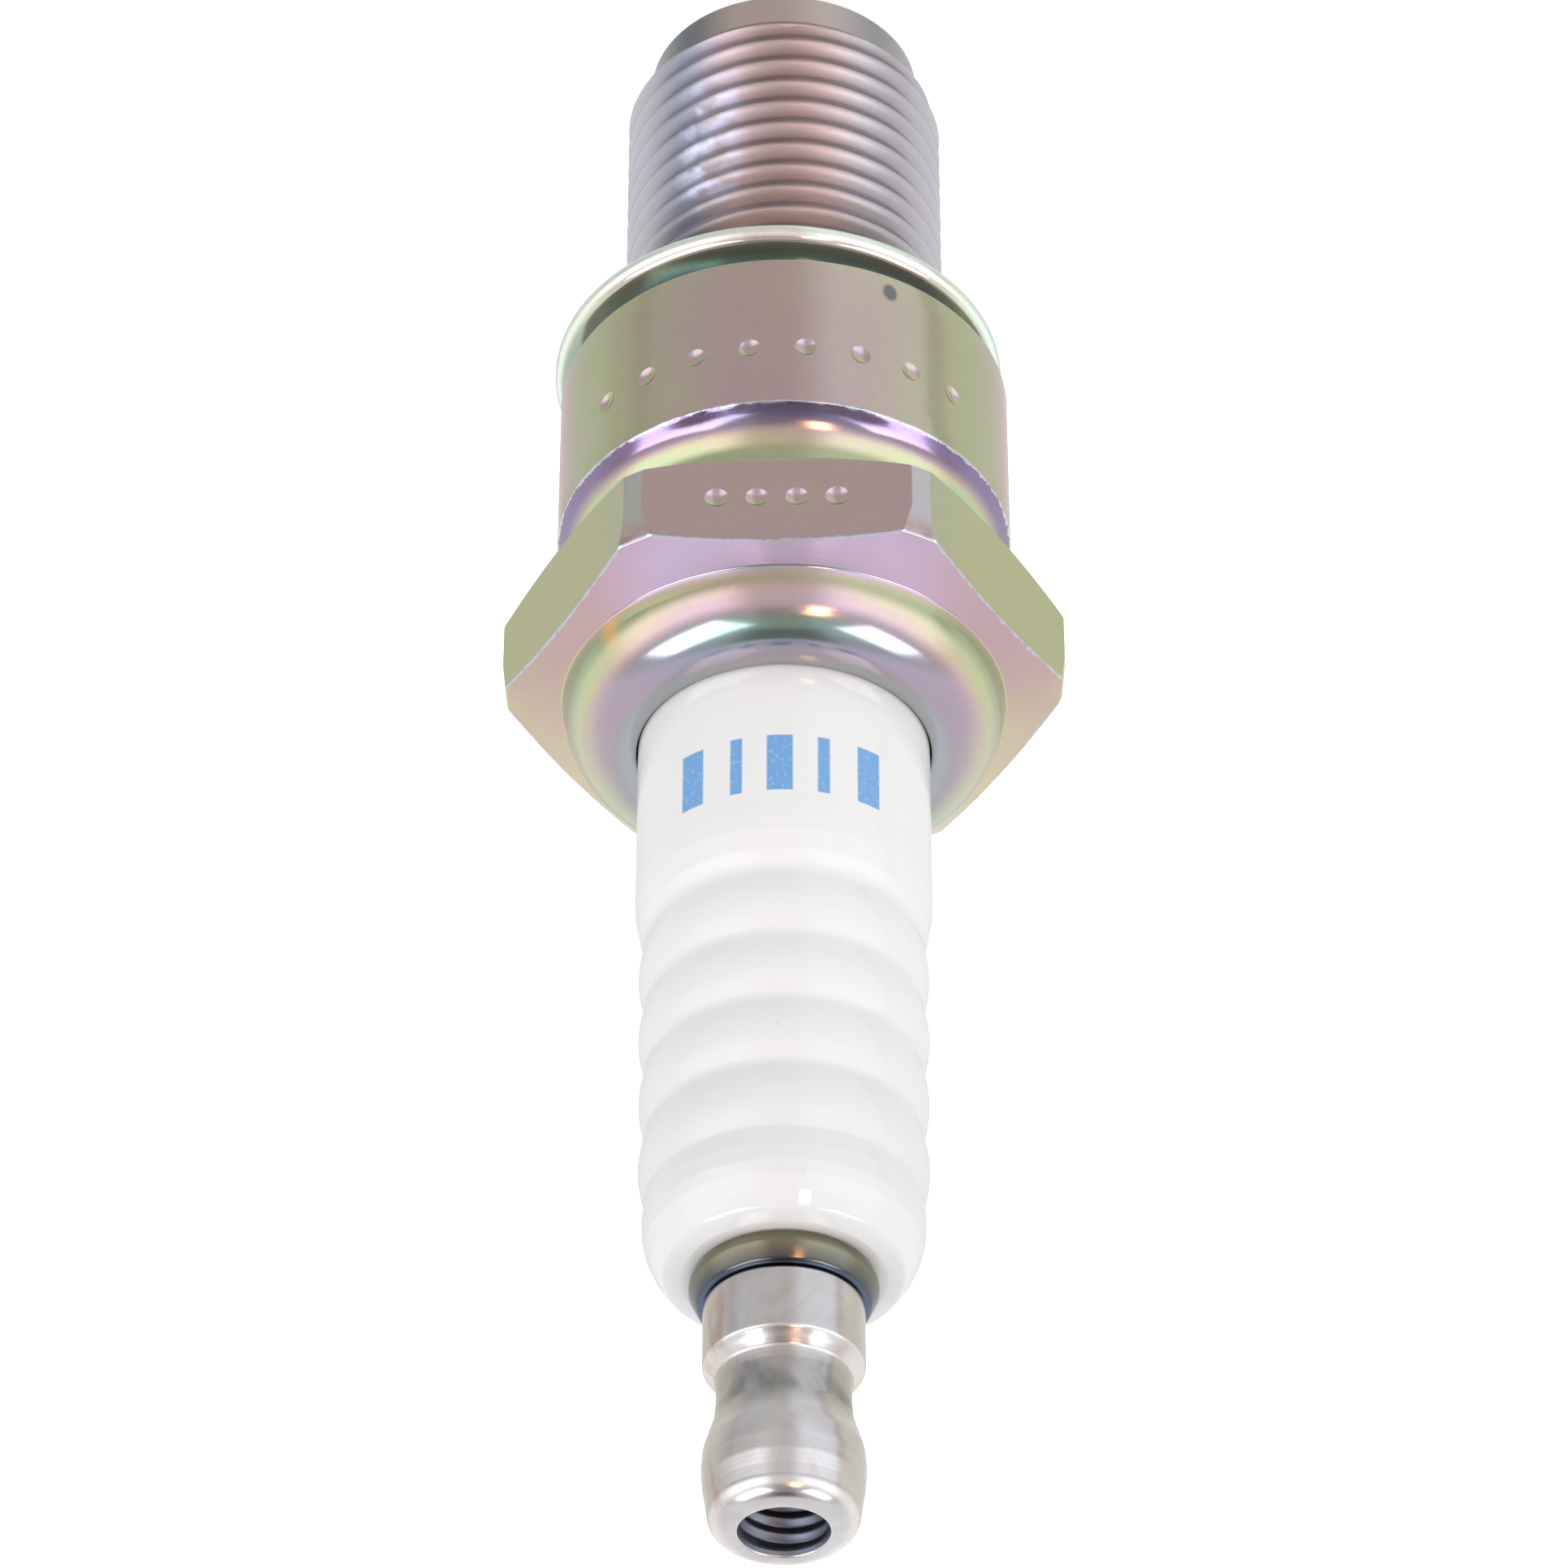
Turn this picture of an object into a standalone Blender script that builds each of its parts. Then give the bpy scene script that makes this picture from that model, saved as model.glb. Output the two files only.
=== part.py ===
"""Spark plug with a 14 mm thread, built as an assembly of separate solids.

The origin is on the plug's axis, at the face of the gasket that meets the
cylinder head.  +Z runs along the axis towards the terminal.  The hexagon has
two of its flats square to Y.  Sizes below are in millimetres.
"""

import math

import bmesh
import bpy

MM = 0.001

# Driving dimensions, in millimetres
THREAD_PITCH = 1.25
THREAD_RADIUS = 6.93
THREAD_DEPTH = 0.541 * THREAD_PITCH
PILOT_RADIUS = 5.93
RELIEF_RADIUS = 6.20
SHELL_END = -17.00
SEAT_HEIGHT = 2.15
BARREL_RADIUS = 9.62
BARREL_TOP = 10.16
NECK_ARC_RADIUS = 1.95
HEX_ACROSS_FLATS = 20.80
HEX_CORNER_RADIUS = 11.82
HEX_BOTTOM = 13.90
HEX_TOP = 18.69
CRIMP_RADIUS = 9.15
CRIMP_CENTRE_RADIUS = 6.80
CRIMP_CENTRE_HEIGHT = 18.90
CRIMP_RISE = 2.50
SHELL_BORE = 7.60
THREAD_BORE = 4.85
LEDGE_BORE = 3.95
LEDGE_HEIGHT = -7.70
CHAMBER_BORE = 4.70
SEAT_ANGLE = 30.0

STRAP_THICKNESS = 1.10
STRAP_WIDTH = 2.60
STRAP_RADIUS = 5.33
STRAP_BEND = 1.50
STRAP_OVERLAP = 1.00

INSULATOR_RADIUS = 6.05
INSULATOR_TOP = 47.25
INSULATOR_BORE = 2.05
ELECTRODE_BORE = 1.32
NOSE_TIP = -17.50
NOSE_RADIUS = 2.48
SHOULDER_RADIUS = 3.80
COLLAR_BASE = 15.60
COLLAR_TOP = 27.80
FIRST_GROOVE = 31.35
GROOVE_PITCH = 3.10
GROOVE_RADII = (5.62, 5.60, 5.56, 5.51, 5.52)
RIB_SWELL = 0.25

GASKET_THICKNESS = 2.10
GASKET_SHEET = 0.38
GASKET_RADIUS = 9.66
GASKET_BORE = 6.75
GASKET_OFFSET = 0.25
GASKET_RIM_BEND = 0.30
GASKET_INNER_BEND = 0.28
GASKET_LEDGE_RADIUS = 8.30

STUD_THREAD_RADIUS = 1.96
STUD_PITCH = 0.70
STUD_DEPTH = 0.541 * STUD_PITCH
STUD_TOP = 54.80
STUD_FOOT = 12.55
SHANK_RADIUS = 1.55
SHANK_GROOVE = 1.38
SHANK_GROOVE_PITCH = 1.10
FLANGE_RADIUS = 3.75
FLANGE_THICKNESS = 1.25

NUT_RADIUS = 3.19
NUT_WAIST = 2.67
NUT_TOP = 58.70
NUT_COLLAR_TOP = 51.20
NUT_WAIST_BOTTOM = 52.20
NUT_WAIST_TOP = 53.70
NUT_BALL = 55.80
NUT_CLEARANCE_BORE = 2.06
NUT_THREAD_BORE = 1.68

TIP_REACH = 1.50
SPARK_GAP = 0.80
JACKET_RADIUS = 1.25
HEAD_RADIUS = 1.90
CORE_RADIUS = 0.75
HEAD_TOP = -1.30
RESISTOR_BOTTOM = 3.05
RESISTOR_TOP = 11.00
SEAL_TOP = 17.50

WIRE_RADIUS = 0.62
LOWER_RING = 15.60
UPPER_RING = 19.28
TALC_BOTTOM = 16.28
TALC_TOP = 18.60

GAP = 0.05

# Sides of the large and of the small round pieces
SIDES = 36
SMALL_SIDES = 24


def remove_everything():
    for item in list(bpy.data.objects):
        bpy.data.objects.remove(item, do_unlink=True)


def arc(centre, radii, start, end, steps):
    """Points of an elliptical arc, angles in degrees from the +radius direction."""
    points = []
    for step in range(steps + 1):
        angle = math.radians(start + (end - start) * step / steps)
        points.append((centre[0] + radii[0] * math.cos(angle), centre[1] + radii[1] * math.sin(angle)))
    return points


def offset_line(path, distance):
    """The path moved sideways by a distance, with mitred corners."""
    moved = []
    for index, point in enumerate(path):
        before = path[max(index - 1, 0)]
        after = path[min(index + 1, len(path) - 1)]
        along_in = unit(before, point) if index > 0 else unit(point, after)
        along_out = unit(point, after) if index < len(path) - 1 else along_in
        normal = (-(along_in[1] + along_out[1]), along_in[0] + along_out[0])
        length = math.hypot(*normal)
        normal = (normal[0] / length, normal[1] / length)
        mitre = distance / (normal[0] * -along_in[1] + normal[1] * along_in[0])
        moved.append((point[0] + normal[0] * mitre, point[1] + normal[1] * mitre))
    return moved


def unit(start, end):
    step = (end[0] - start[0], end[1] - start[1])
    length = math.hypot(*step)
    return (step[0] / length, step[1] / length)


def sheet_outline(path, thickness):
    """Closed outline of a bent strip whose middle line is the path."""
    return offset_line(path, thickness / 2) + list(reversed(offset_line(path, -thickness / 2)))


def finish_object(name, mesh_data, origin=(0.0, 0.0, 0.0), smooth=True):
    mesh = bpy.data.meshes.new(name)
    bmesh.ops.recalc_face_normals(mesh_data, faces=mesh_data.faces)
    for face in mesh_data.faces:
        face.smooth = smooth
    mesh_data.to_mesh(mesh)
    mesh_data.free()
    item = bpy.data.objects.new(name, mesh)
    item.location = [value * MM for value in origin]
    bpy.context.collection.objects.link(item)
    return item


def revolve(name, outline, sides=SIDES, origin=(0.0, 0.0, 0.0)):
    """Spin an outline of (radius, height) points around the axis.

    An outline with both ends on the axis makes a solid without a bore; any
    other outline is closed into a loop.
    """
    data = bmesh.new()
    verts = [data.verts.new((radius * MM, 0.0, (height - origin[2]) * MM)) for radius, height in outline]
    edges = [data.edges.new(pair) for pair in zip(verts, verts[1:])]
    if outline[0][0] > 0.0 or outline[-1][0] > 0.0:
        edges.append(data.edges.new((verts[-1], verts[0])))
    bmesh.ops.spin(
        data, geom=verts + edges, cent=(0, 0, 0), axis=(0, 0, 1), dvec=(0, 0, 0),
        angle=math.tau, steps=sides, use_merge=True, use_duplicate=False,
    )
    bmesh.ops.remove_doubles(data, verts=data.verts, dist=1e-7)
    return finish_object(name, data, origin)


def extrude_strip(name, outline, width):
    """Extrude a closed outline of (y, z) points along X, centred on the YZ plane."""
    data = bmesh.new()
    verts = [data.verts.new((-width / 2 * MM, y * MM, z * MM)) for y, z in outline]
    face = data.faces.new(verts)
    moved = bmesh.ops.extrude_face_region(data, geom=[face])
    new_verts = [part for part in moved["geom"] if isinstance(part, bmesh.types.BMVert)]
    bmesh.ops.translate(data, verts=new_verts, vec=(width * MM, 0, 0))
    return finish_object(name, data, smooth=False)


def helix_cutter(name, section, pitch, bottom, top, sides, origin_height=0.0):
    """Sweep a closed (radius, height) section along a right-hand helix."""
    data = bmesh.new()
    count = math.ceil((top - bottom) / pitch * sides)
    loops = []
    for step in range(count + 1):
        angle = math.tau * step / sides
        rise = bottom + pitch * step / sides - origin_height
        loops.append([
            data.verts.new((r * math.cos(angle) * MM, r * math.sin(angle) * MM, (z + rise) * MM))
            for r, z in section
        ])
    size = len(section)
    for first, second in zip(loops, loops[1:]):
        for index in range(size):
            follow = (index + 1) % size
            data.faces.new((first[index], first[follow], second[follow], second[index]))
    data.faces.new(reversed(loops[0]))
    data.faces.new(loops[-1])
    cutter = finish_object(name, data, (0.0, 0.0, origin_height), smooth=False)
    return hide_cutter(cutter)


def hide_cutter(cutter):
    cutter.hide_render = True
    cutter.display_type = "WIRE"
    return cutter


def cut(item, cutter):
    modifier = item.modifiers.new(cutter.name, "BOOLEAN")
    modifier.operation = "DIFFERENCE"
    modifier.solver = "EXACT"
    modifier.object = cutter


def thread_groove(radius, depth, pitch, overshoot):
    """Section of an outside thread's groove: flat root, 60 degree flanks."""
    half_root = pitch / 8
    half_crest = pitch * 7 / 16
    return [
        (radius - depth, -half_root), (radius - depth, half_root),
        (radius, half_crest), (radius + overshoot, half_crest),
        (radius + overshoot, -half_crest), (radius, -half_crest),
    ]


def paint(item, colour, roughness, metallic):
    material = bpy.data.materials.new(item.name)
    material.use_nodes = True
    shader = material.node_tree.nodes["Principled BSDF"]
    shader.inputs["Base Color"].default_value = (*colour, 1.0)
    shader.inputs["Roughness"].default_value = roughness
    shader.inputs["Metallic"].default_value = metallic
    item.data.materials.append(material)


def make_metal_shell():
    """Threaded body: pilot, M14 thread, relief, barrel, thin neck, hexagon, rolled lip."""
    flat_radius = HEX_ACROSS_FLATS / 2
    neck_height = HEX_BOTTOM - NECK_ARC_RADIUS
    neck_start = 180 + math.degrees(math.acos((flat_radius - BARREL_RADIUS) / NECK_ARC_RADIUS))
    neck = arc((flat_radius, neck_height), (NECK_ARC_RADIUS, NECK_ARC_RADIUS), neck_start, 90, 8)
    neck[0] = (BARREL_RADIUS, BARREL_TOP)
    crimp = (CRIMP_CENTRE_RADIUS, CRIMP_CENTRE_HEIGHT)
    crimp_radii = (CRIMP_RADIUS - CRIMP_CENTRE_RADIUS, CRIMP_RISE)
    lip_radii = (SHELL_BORE - CRIMP_CENTRE_RADIUS, CRIMP_RISE / 2)
    outline = [
        (CHAMBER_BORE, SHELL_END + 0.20), (CHAMBER_BORE + 0.15, SHELL_END),
        (PILOT_RADIUS - 0.13, SHELL_END), (PILOT_RADIUS, SHELL_END + 0.15),
        (PILOT_RADIUS, SHELL_END + 1.60), (THREAD_RADIUS, SHELL_END + 2.80),
        (THREAD_RADIUS, -1.10), (RELIEF_RADIUS, -0.60), (RELIEF_RADIUS, SEAT_HEIGHT),
        (BARREL_RADIUS - 0.15, SEAT_HEIGHT), (BARREL_RADIUS, SEAT_HEIGHT + 0.15),
    ]
    outline += neck
    outline += [
        (HEX_CORNER_RADIUS, HEX_BOTTOM + 0.52), (HEX_CORNER_RADIUS, HEX_BOTTOM + 2.50),
        (HEX_CORNER_RADIUS - 0.14, HEX_TOP - 0.75), (HEX_CORNER_RADIUS - 0.27, HEX_TOP - 0.63),
        (CRIMP_RADIUS + 0.15, HEX_TOP - 0.02), (CRIMP_RADIUS + 0.03, HEX_TOP + 0.05),
    ]
    outline += arc(crimp, crimp_radii, 0, 105, 9)
    outline += [(INSULATOR_RADIUS + 0.11, 21.10), (INSULATOR_RADIUS + 0.11, 20.50)]
    outline += arc(crimp, lip_radii, 110, 0, 5)
    outline += [
        (SHELL_BORE, 5.10), (THREAD_BORE, 2.70), (THREAD_BORE, ledge_seat(THREAD_BORE)),
        (LEDGE_BORE, LEDGE_HEIGHT), (LEDGE_BORE, LEDGE_HEIGHT - 1.30), (CHAMBER_BORE, LEDGE_HEIGHT - 1.90),
    ]
    shell = revolve("metal_shell", outline)
    hexagon_corner = flat_radius / math.cos(math.pi / 6)
    blank = [
        (hexagon_corner, HEX_BOTTOM - 1.7), (hexagon_corner + 4, HEX_BOTTOM - 1.7),
        (hexagon_corner + 4, HEX_TOP + 0.8), (hexagon_corner, HEX_TOP + 0.8),
    ]
    cut(shell, hide_cutter(revolve("hexagon_cutter", blank, sides=6)))
    groove = thread_groove(THREAD_RADIUS, THREAD_DEPTH, THREAD_PITCH, 0.4)
    cut(shell, helix_cutter("shell_thread_cutter", groove, THREAD_PITCH, SHELL_END + 1.30, -0.40, SIDES))
    paint(shell, (0.55, 0.50, 0.42), 0.28, 1.0)


def ledge_seat(radius):
    """Height of the 30 degree seat inside the shell at a radius."""
    return LEDGE_HEIGHT + (radius - LEDGE_BORE) * math.tan(math.radians(SEAT_ANGLE))


def make_ground_electrode():
    """J-shaped strap on the shell's end, bent over the centre electrode."""
    face_height = SHELL_END - TIP_REACH - SPARK_GAP
    middle_height = face_height - STRAP_THICKNESS / 2
    bend_centre = (STRAP_RADIUS - STRAP_BEND, middle_height + STRAP_BEND)
    path = [(STRAP_RADIUS, SHELL_END - GAP)]
    path += arc(bend_centre, (STRAP_BEND, STRAP_BEND), 0, -90, 6)
    path += [(-STRAP_OVERLAP, middle_height)]
    strap = extrude_strip("ground_electrode", sheet_outline(path, STRAP_THICKNESS), STRAP_WIDTH)
    paint(strap, (0.50, 0.48, 0.45), 0.35, 1.0)


def make_gasket():
    """Ring folded from one strip of sheet: two layers at the rim, three inside."""
    half = GASKET_SHEET / 2
    rim = GASKET_RIM_BEND
    rim_centre = (GASKET_RADIUS - half - rim, half + rim)
    fold = GASKET_INNER_BEND
    top = GASKET_THICKNESS - half
    fold_centre = (GASKET_BORE + half + fold, top - fold)
    ledge = rim_centre[1] + rim
    path = [(GASKET_BORE, half)]
    path += arc(rim_centre, (rim, rim), -90, 78, 5)
    path += [
        (GASKET_LEDGE_RADIUS + 0.45, ledge + 0.08), (GASKET_LEDGE_RADIUS, ledge + 0.30),
        (GASKET_LEDGE_RADIUS - 0.50, top - 2 * fold + 0.01),
    ]
    path += arc(fold_centre, (fold, fold), 270, 90, 5)
    path += [(GASKET_LEDGE_RADIUS - 0.25, top), (GASKET_LEDGE_RADIUS, top - 0.12)]
    gasket = revolve("gasket", sheet_outline(path, GASKET_SHEET))
    gasket.location.x = GASKET_OFFSET * MM
    paint(gasket, (0.62, 0.60, 0.50), 0.22, 1.0)


def make_insulator():
    """Alumina body: nose, seat cone, large middle, collar, five ribs' grooves, rounded end."""
    seat_rise = 0.52
    sleeve = THREAD_BORE - 0.20
    middle = SHELL_BORE - 0.20
    outline = [
        (ELECTRODE_BORE, NOSE_TIP), (NOSE_RADIUS - 0.28, NOSE_TIP), (NOSE_RADIUS, NOSE_TIP + 0.28),
        (SHOULDER_RADIUS - 0.35, LEDGE_HEIGHT - 2.40), (SHOULDER_RADIUS, LEDGE_HEIGHT - 1.40),
        (SHOULDER_RADIUS, ledge_seat(SHOULDER_RADIUS) + seat_rise), (sleeve, ledge_seat(sleeve) + seat_rise),
        (sleeve, 3.10), (middle, 5.50), (middle, COLLAR_BASE - 1.60),
        (INSULATOR_RADIUS + 0.05, COLLAR_BASE - 0.25), (INSULATOR_RADIUS, COLLAR_BASE),
        (INSULATOR_RADIUS, COLLAR_TOP), (INSULATOR_RADIUS + 0.02, COLLAR_TOP + 1.00),
        (INSULATOR_RADIUS - 0.01, COLLAR_TOP + 1.80), (INSULATOR_RADIUS - 0.15, COLLAR_TOP + 2.70),
    ]
    for index, (low, high) in enumerate(zip(GROOVE_RADII, GROOVE_RADII[1:])):
        base = FIRST_GROOVE + GROOVE_PITCH * index
        outline.append((low, base))
        for share in (0.25, 0.5, 0.75):
            swell = RIB_SWELL * (1.0 - abs(2.0 * share - 1.0) ** 2.6)
            outline.append((low + (high - low) * share + swell, base + GROOVE_PITCH * share))
    last_groove = FIRST_GROOVE + GROOVE_PITCH * (len(GROOVE_RADII) - 1)
    outline += [
        (GROOVE_RADII[-1], last_groove), (5.60, INSULATOR_TOP - 2.55), (5.58, INSULATOR_TOP - 2.05),
        (5.45, INSULATOR_TOP - 1.45), (5.20, INSULATOR_TOP - 0.80), (4.80, INSULATOR_TOP - 0.20),
        (4.45, INSULATOR_TOP - 0.04), (4.05, INSULATOR_TOP),
        (INSULATOR_BORE, INSULATOR_TOP), (INSULATOR_BORE, -2.40), (ELECTRODE_BORE, -3.20),
    ]
    paint(revolve("insulator", outline), (0.86, 0.86, 0.84), 0.15, 0.0)


def make_packings():
    """Seat washer, and the ring, talc and ring packed under the rolled lip."""
    inner = 4.02
    outer = THREAD_BORE - 0.08
    washer = [
        (inner, ledge_seat(inner) + 0.07), (outer, ledge_seat(outer) + 0.07),
        (outer, ledge_seat(outer) + 0.45), (inner, ledge_seat(inner) + 0.45),
    ]
    paint(revolve("lower_packing_washer", washer), (0.60, 0.34, 0.20), 0.4, 1.0)
    ring_radius = (INSULATOR_RADIUS + SHELL_BORE) / 2
    for name, height in (("lower_packing_ring", LOWER_RING), ("upper_packing_ring", UPPER_RING)):
        wire = arc((ring_radius, height), (WIRE_RADIUS, WIRE_RADIUS), 0, 315, 7)
        paint(revolve(name, wire), (0.45, 0.45, 0.45), 0.4, 1.0)
    talc = [
        (INSULATOR_RADIUS + 0.06, TALC_BOTTOM), (SHELL_BORE - 0.06, TALC_BOTTOM),
        (SHELL_BORE - 0.06, TALC_TOP), (INSULATOR_RADIUS + 0.06, TALC_TOP),
    ]
    paint(revolve("talc_packing", talc), (0.75, 0.74, 0.70), 0.9, 0.0)


def make_centre_electrode():
    """Nickel jacket with a seating head, around a copper core."""
    tip = SHELL_END - TIP_REACH
    core_bottom = tip + 2.0
    pocket = CORE_RADIUS + GAP
    jacket = [
        (0.0, tip), (JACKET_RADIUS - 0.13, tip), (JACKET_RADIUS, tip + 0.12),
        (JACKET_RADIUS, HEAD_TOP - 1.75), (HEAD_RADIUS, HEAD_TOP - 0.90), (HEAD_RADIUS, HEAD_TOP),
        (pocket, HEAD_TOP), (pocket, core_bottom - GAP), (0.0, core_bottom - GAP),
    ]
    paint(revolve("centre_electrode_jacket", jacket, SMALL_SIDES), (0.55, 0.53, 0.50), 0.3, 1.0)
    core = [(0.0, core_bottom), (CORE_RADIUS, core_bottom), (CORE_RADIUS, HEAD_TOP), (0.0, HEAD_TOP)]
    paint(revolve("centre_electrode_core", core, SMALL_SIDES), (0.80, 0.40, 0.26), 0.3, 1.0)


def make_conductor_column():
    """Glass seal, suppressor resistor and glass seal between electrode and stud."""
    radius = INSULATOR_BORE - GAP
    socket = SHANK_RADIUS + 0.07
    lower = [
        (0.0, HEAD_TOP + GAP), (radius, HEAD_TOP + GAP),
        (radius, RESISTOR_BOTTOM - GAP), (0.0, RESISTOR_BOTTOM - GAP),
    ]
    paint(revolve("lower_glass_seal", lower, SMALL_SIDES), (0.12, 0.11, 0.10), 0.5, 0.0)
    resistor = [
        (0.0, RESISTOR_BOTTOM), (radius, RESISTOR_BOTTOM), (radius, RESISTOR_TOP), (0.0, RESISTOR_TOP),
    ]
    paint(revolve("resistor_element", resistor, SMALL_SIDES), (0.05, 0.05, 0.05), 0.7, 0.0)
    upper = [
        (0.0, RESISTOR_TOP + GAP), (radius, RESISTOR_TOP + GAP), (radius, SEAL_TOP), (socket, SEAL_TOP),
        (socket, STUD_FOOT - GAP), (0.0, STUD_FOOT - GAP),
    ]
    paint(revolve("upper_glass_seal", upper, SMALL_SIDES), (0.12, 0.11, 0.10), 0.5, 0.0)


def make_terminal_stud():
    """Steel stud: grooved end in the seal, shank, flange on the insulator, M4 thread."""
    flange_bottom = INSULATOR_TOP + GAP
    flange_top = flange_bottom + FLANGE_THICKNESS
    grooves = 4
    outline = [(0.0, STUD_FOOT), (SHANK_RADIUS - 0.15, STUD_FOOT)]
    for index in range(grooves):
        base = STUD_FOOT + 0.15 + index * SHANK_GROOVE_PITCH
        outline += [
            (SHANK_RADIUS, base), (SHANK_RADIUS, base + 0.55),
            (SHANK_GROOVE, base + 0.70), (SHANK_GROOVE, base + 0.95),
        ]
    outline += [
        (SHANK_RADIUS, STUD_FOOT + 0.15 + grooves * SHANK_GROOVE_PITCH),
        (SHANK_RADIUS, SEAL_TOP + 0.50),
        (INSULATOR_BORE - 0.20, SEAL_TOP + 0.80), (INSULATOR_BORE - 0.20, flange_bottom),
        (FLANGE_RADIUS - 0.20, flange_bottom), (FLANGE_RADIUS, flange_bottom + 0.32),
        (FLANGE_RADIUS - 0.02, flange_bottom + 0.62), (FLANGE_RADIUS - 0.15, flange_bottom + 0.96),
        (FLANGE_RADIUS - 0.40, flange_top), (SHANK_RADIUS, flange_top), (SHANK_RADIUS, flange_top + 0.45),
        (STUD_THREAD_RADIUS, flange_top + 0.75), (STUD_THREAD_RADIUS, STUD_TOP - 0.45),
        (STUD_THREAD_RADIUS - 0.46, STUD_TOP), (0.0, STUD_TOP),
    ]
    stud = revolve("terminal_stud", outline, SMALL_SIDES)
    groove = thread_groove(STUD_THREAD_RADIUS, STUD_DEPTH, STUD_PITCH, 0.25)
    low = flange_top + 0.35
    cut(stud, helix_cutter("stud_thread_cutter", groove, STUD_PITCH, low, STUD_TOP + 0.40, SMALL_SIDES))
    paint(stud, (0.36, 0.34, 0.30), 0.3, 1.0)


def make_terminal_nut():
    """Removable terminal nut: collar, waist, rounded end, threaded mouth."""
    bottom = INSULATOR_TOP + FLANGE_THICKNESS + 2 * GAP
    mouth_bottom = STUD_TOP + 0.35
    outline = [
        (NUT_CLEARANCE_BORE, bottom), (NUT_RADIUS - 0.13, bottom), (NUT_RADIUS - 0.02, bottom + 0.13),
        (NUT_RADIUS - 0.02, NUT_COLLAR_TOP),
    ]
    outline += arc((NUT_RADIUS - 0.84, NUT_COLLAR_TOP), (0.80, 1.0), 20, 66, 3)
    outline += [
        (NUT_WAIST, NUT_WAIST_BOTTOM), (NUT_WAIST, NUT_WAIST_TOP), (NUT_RADIUS - 0.41, NUT_BALL - 1.65),
        (NUT_RADIUS - 0.22, NUT_BALL - 1.10), (NUT_RADIUS - 0.07, NUT_BALL - 0.60), (NUT_RADIUS, NUT_BALL),
        (NUT_RADIUS - 0.02, NUT_BALL + 0.60), (NUT_RADIUS - 0.14, NUT_BALL + 1.20),
        (NUT_RADIUS - 0.27, NUT_BALL + 1.70),
    ]
    dome = (NUT_RADIUS - 1.09, NUT_TOP - 0.95)
    outline += arc(dome, (NUT_RADIUS - 0.31 - dome[0], NUT_TOP - dome[1]), 0, 90, 5)
    outline += [
        (dome[0] - 0.18, NUT_TOP), (NUT_THREAD_BORE, NUT_TOP - 0.40), (NUT_THREAD_BORE, mouth_bottom),
        (NUT_CLEARANCE_BORE, mouth_bottom - 0.2),
    ]
    nut = revolve("terminal_nut", outline, SMALL_SIDES, origin=(0.0, 0.0, bottom))
    half_wide = STUD_PITCH * 7 / 16
    half_deep = STUD_PITCH / 8
    inside = NUT_THREAD_BORE - 0.20
    root = NUT_THREAD_BORE + 0.30
    groove = [
        (inside, -half_wide), (NUT_THREAD_BORE, -half_wide), (root, -half_deep),
        (root, half_deep), (NUT_THREAD_BORE, half_wide), (inside, half_wide),
    ]
    cutter = helix_cutter(
        "nut_thread_cutter", groove, STUD_PITCH, mouth_bottom - 0.55, NUT_TOP + 0.40, SMALL_SIDES, bottom,
    )
    cut(nut, cutter)
    paint(nut, (0.70, 0.68, 0.65), 0.25, 1.0)


def parent_to_frame():
    """Hang every piece on one empty at the head seat."""
    frame = bpy.data.objects.new("head_seat_frame", None)
    bpy.context.collection.objects.link(frame)
    for item in list(bpy.data.objects):
        if item is not frame:
            item.parent = frame


def main():
    remove_everything()
    make_metal_shell()
    make_ground_electrode()
    make_gasket()
    make_insulator()
    make_packings()
    make_centre_electrode()
    make_conductor_column()
    make_terminal_stud()
    make_terminal_nut()
    parent_to_frame()


main()
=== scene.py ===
"""Looks of the spark plug: fine meshes, plated metal, glazed ceramic, soft light.

Lengths are in millimetres in the tables and become metres when a mesh is made.
Heights are along the plug's axis from the gasket's head face.
"""

import math

import bmesh
import bpy
from mathutils import Matrix, Vector, noise


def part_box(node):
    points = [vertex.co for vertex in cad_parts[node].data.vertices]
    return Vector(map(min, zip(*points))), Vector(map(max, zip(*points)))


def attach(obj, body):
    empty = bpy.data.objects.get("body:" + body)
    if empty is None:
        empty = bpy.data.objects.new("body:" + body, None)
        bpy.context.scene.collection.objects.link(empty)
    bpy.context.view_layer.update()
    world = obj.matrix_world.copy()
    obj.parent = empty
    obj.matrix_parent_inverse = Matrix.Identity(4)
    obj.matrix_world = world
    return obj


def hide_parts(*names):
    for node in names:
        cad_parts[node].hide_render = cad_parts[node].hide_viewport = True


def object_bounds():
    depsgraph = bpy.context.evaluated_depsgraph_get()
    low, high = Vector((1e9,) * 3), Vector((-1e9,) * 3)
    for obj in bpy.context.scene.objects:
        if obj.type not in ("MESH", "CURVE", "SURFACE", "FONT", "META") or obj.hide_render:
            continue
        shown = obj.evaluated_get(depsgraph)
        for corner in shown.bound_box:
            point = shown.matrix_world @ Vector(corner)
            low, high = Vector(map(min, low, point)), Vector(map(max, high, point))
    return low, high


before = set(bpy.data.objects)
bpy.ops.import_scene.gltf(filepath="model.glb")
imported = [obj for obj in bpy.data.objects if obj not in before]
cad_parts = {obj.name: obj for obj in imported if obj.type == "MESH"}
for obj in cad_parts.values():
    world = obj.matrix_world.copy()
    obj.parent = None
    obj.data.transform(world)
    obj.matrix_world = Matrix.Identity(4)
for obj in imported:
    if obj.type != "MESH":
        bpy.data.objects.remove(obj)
cad_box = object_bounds()

MM = 0.001

# Outlines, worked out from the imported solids' boxes


def box_mm(node):
    low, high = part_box(node)
    return low / MM, high / MM


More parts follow.
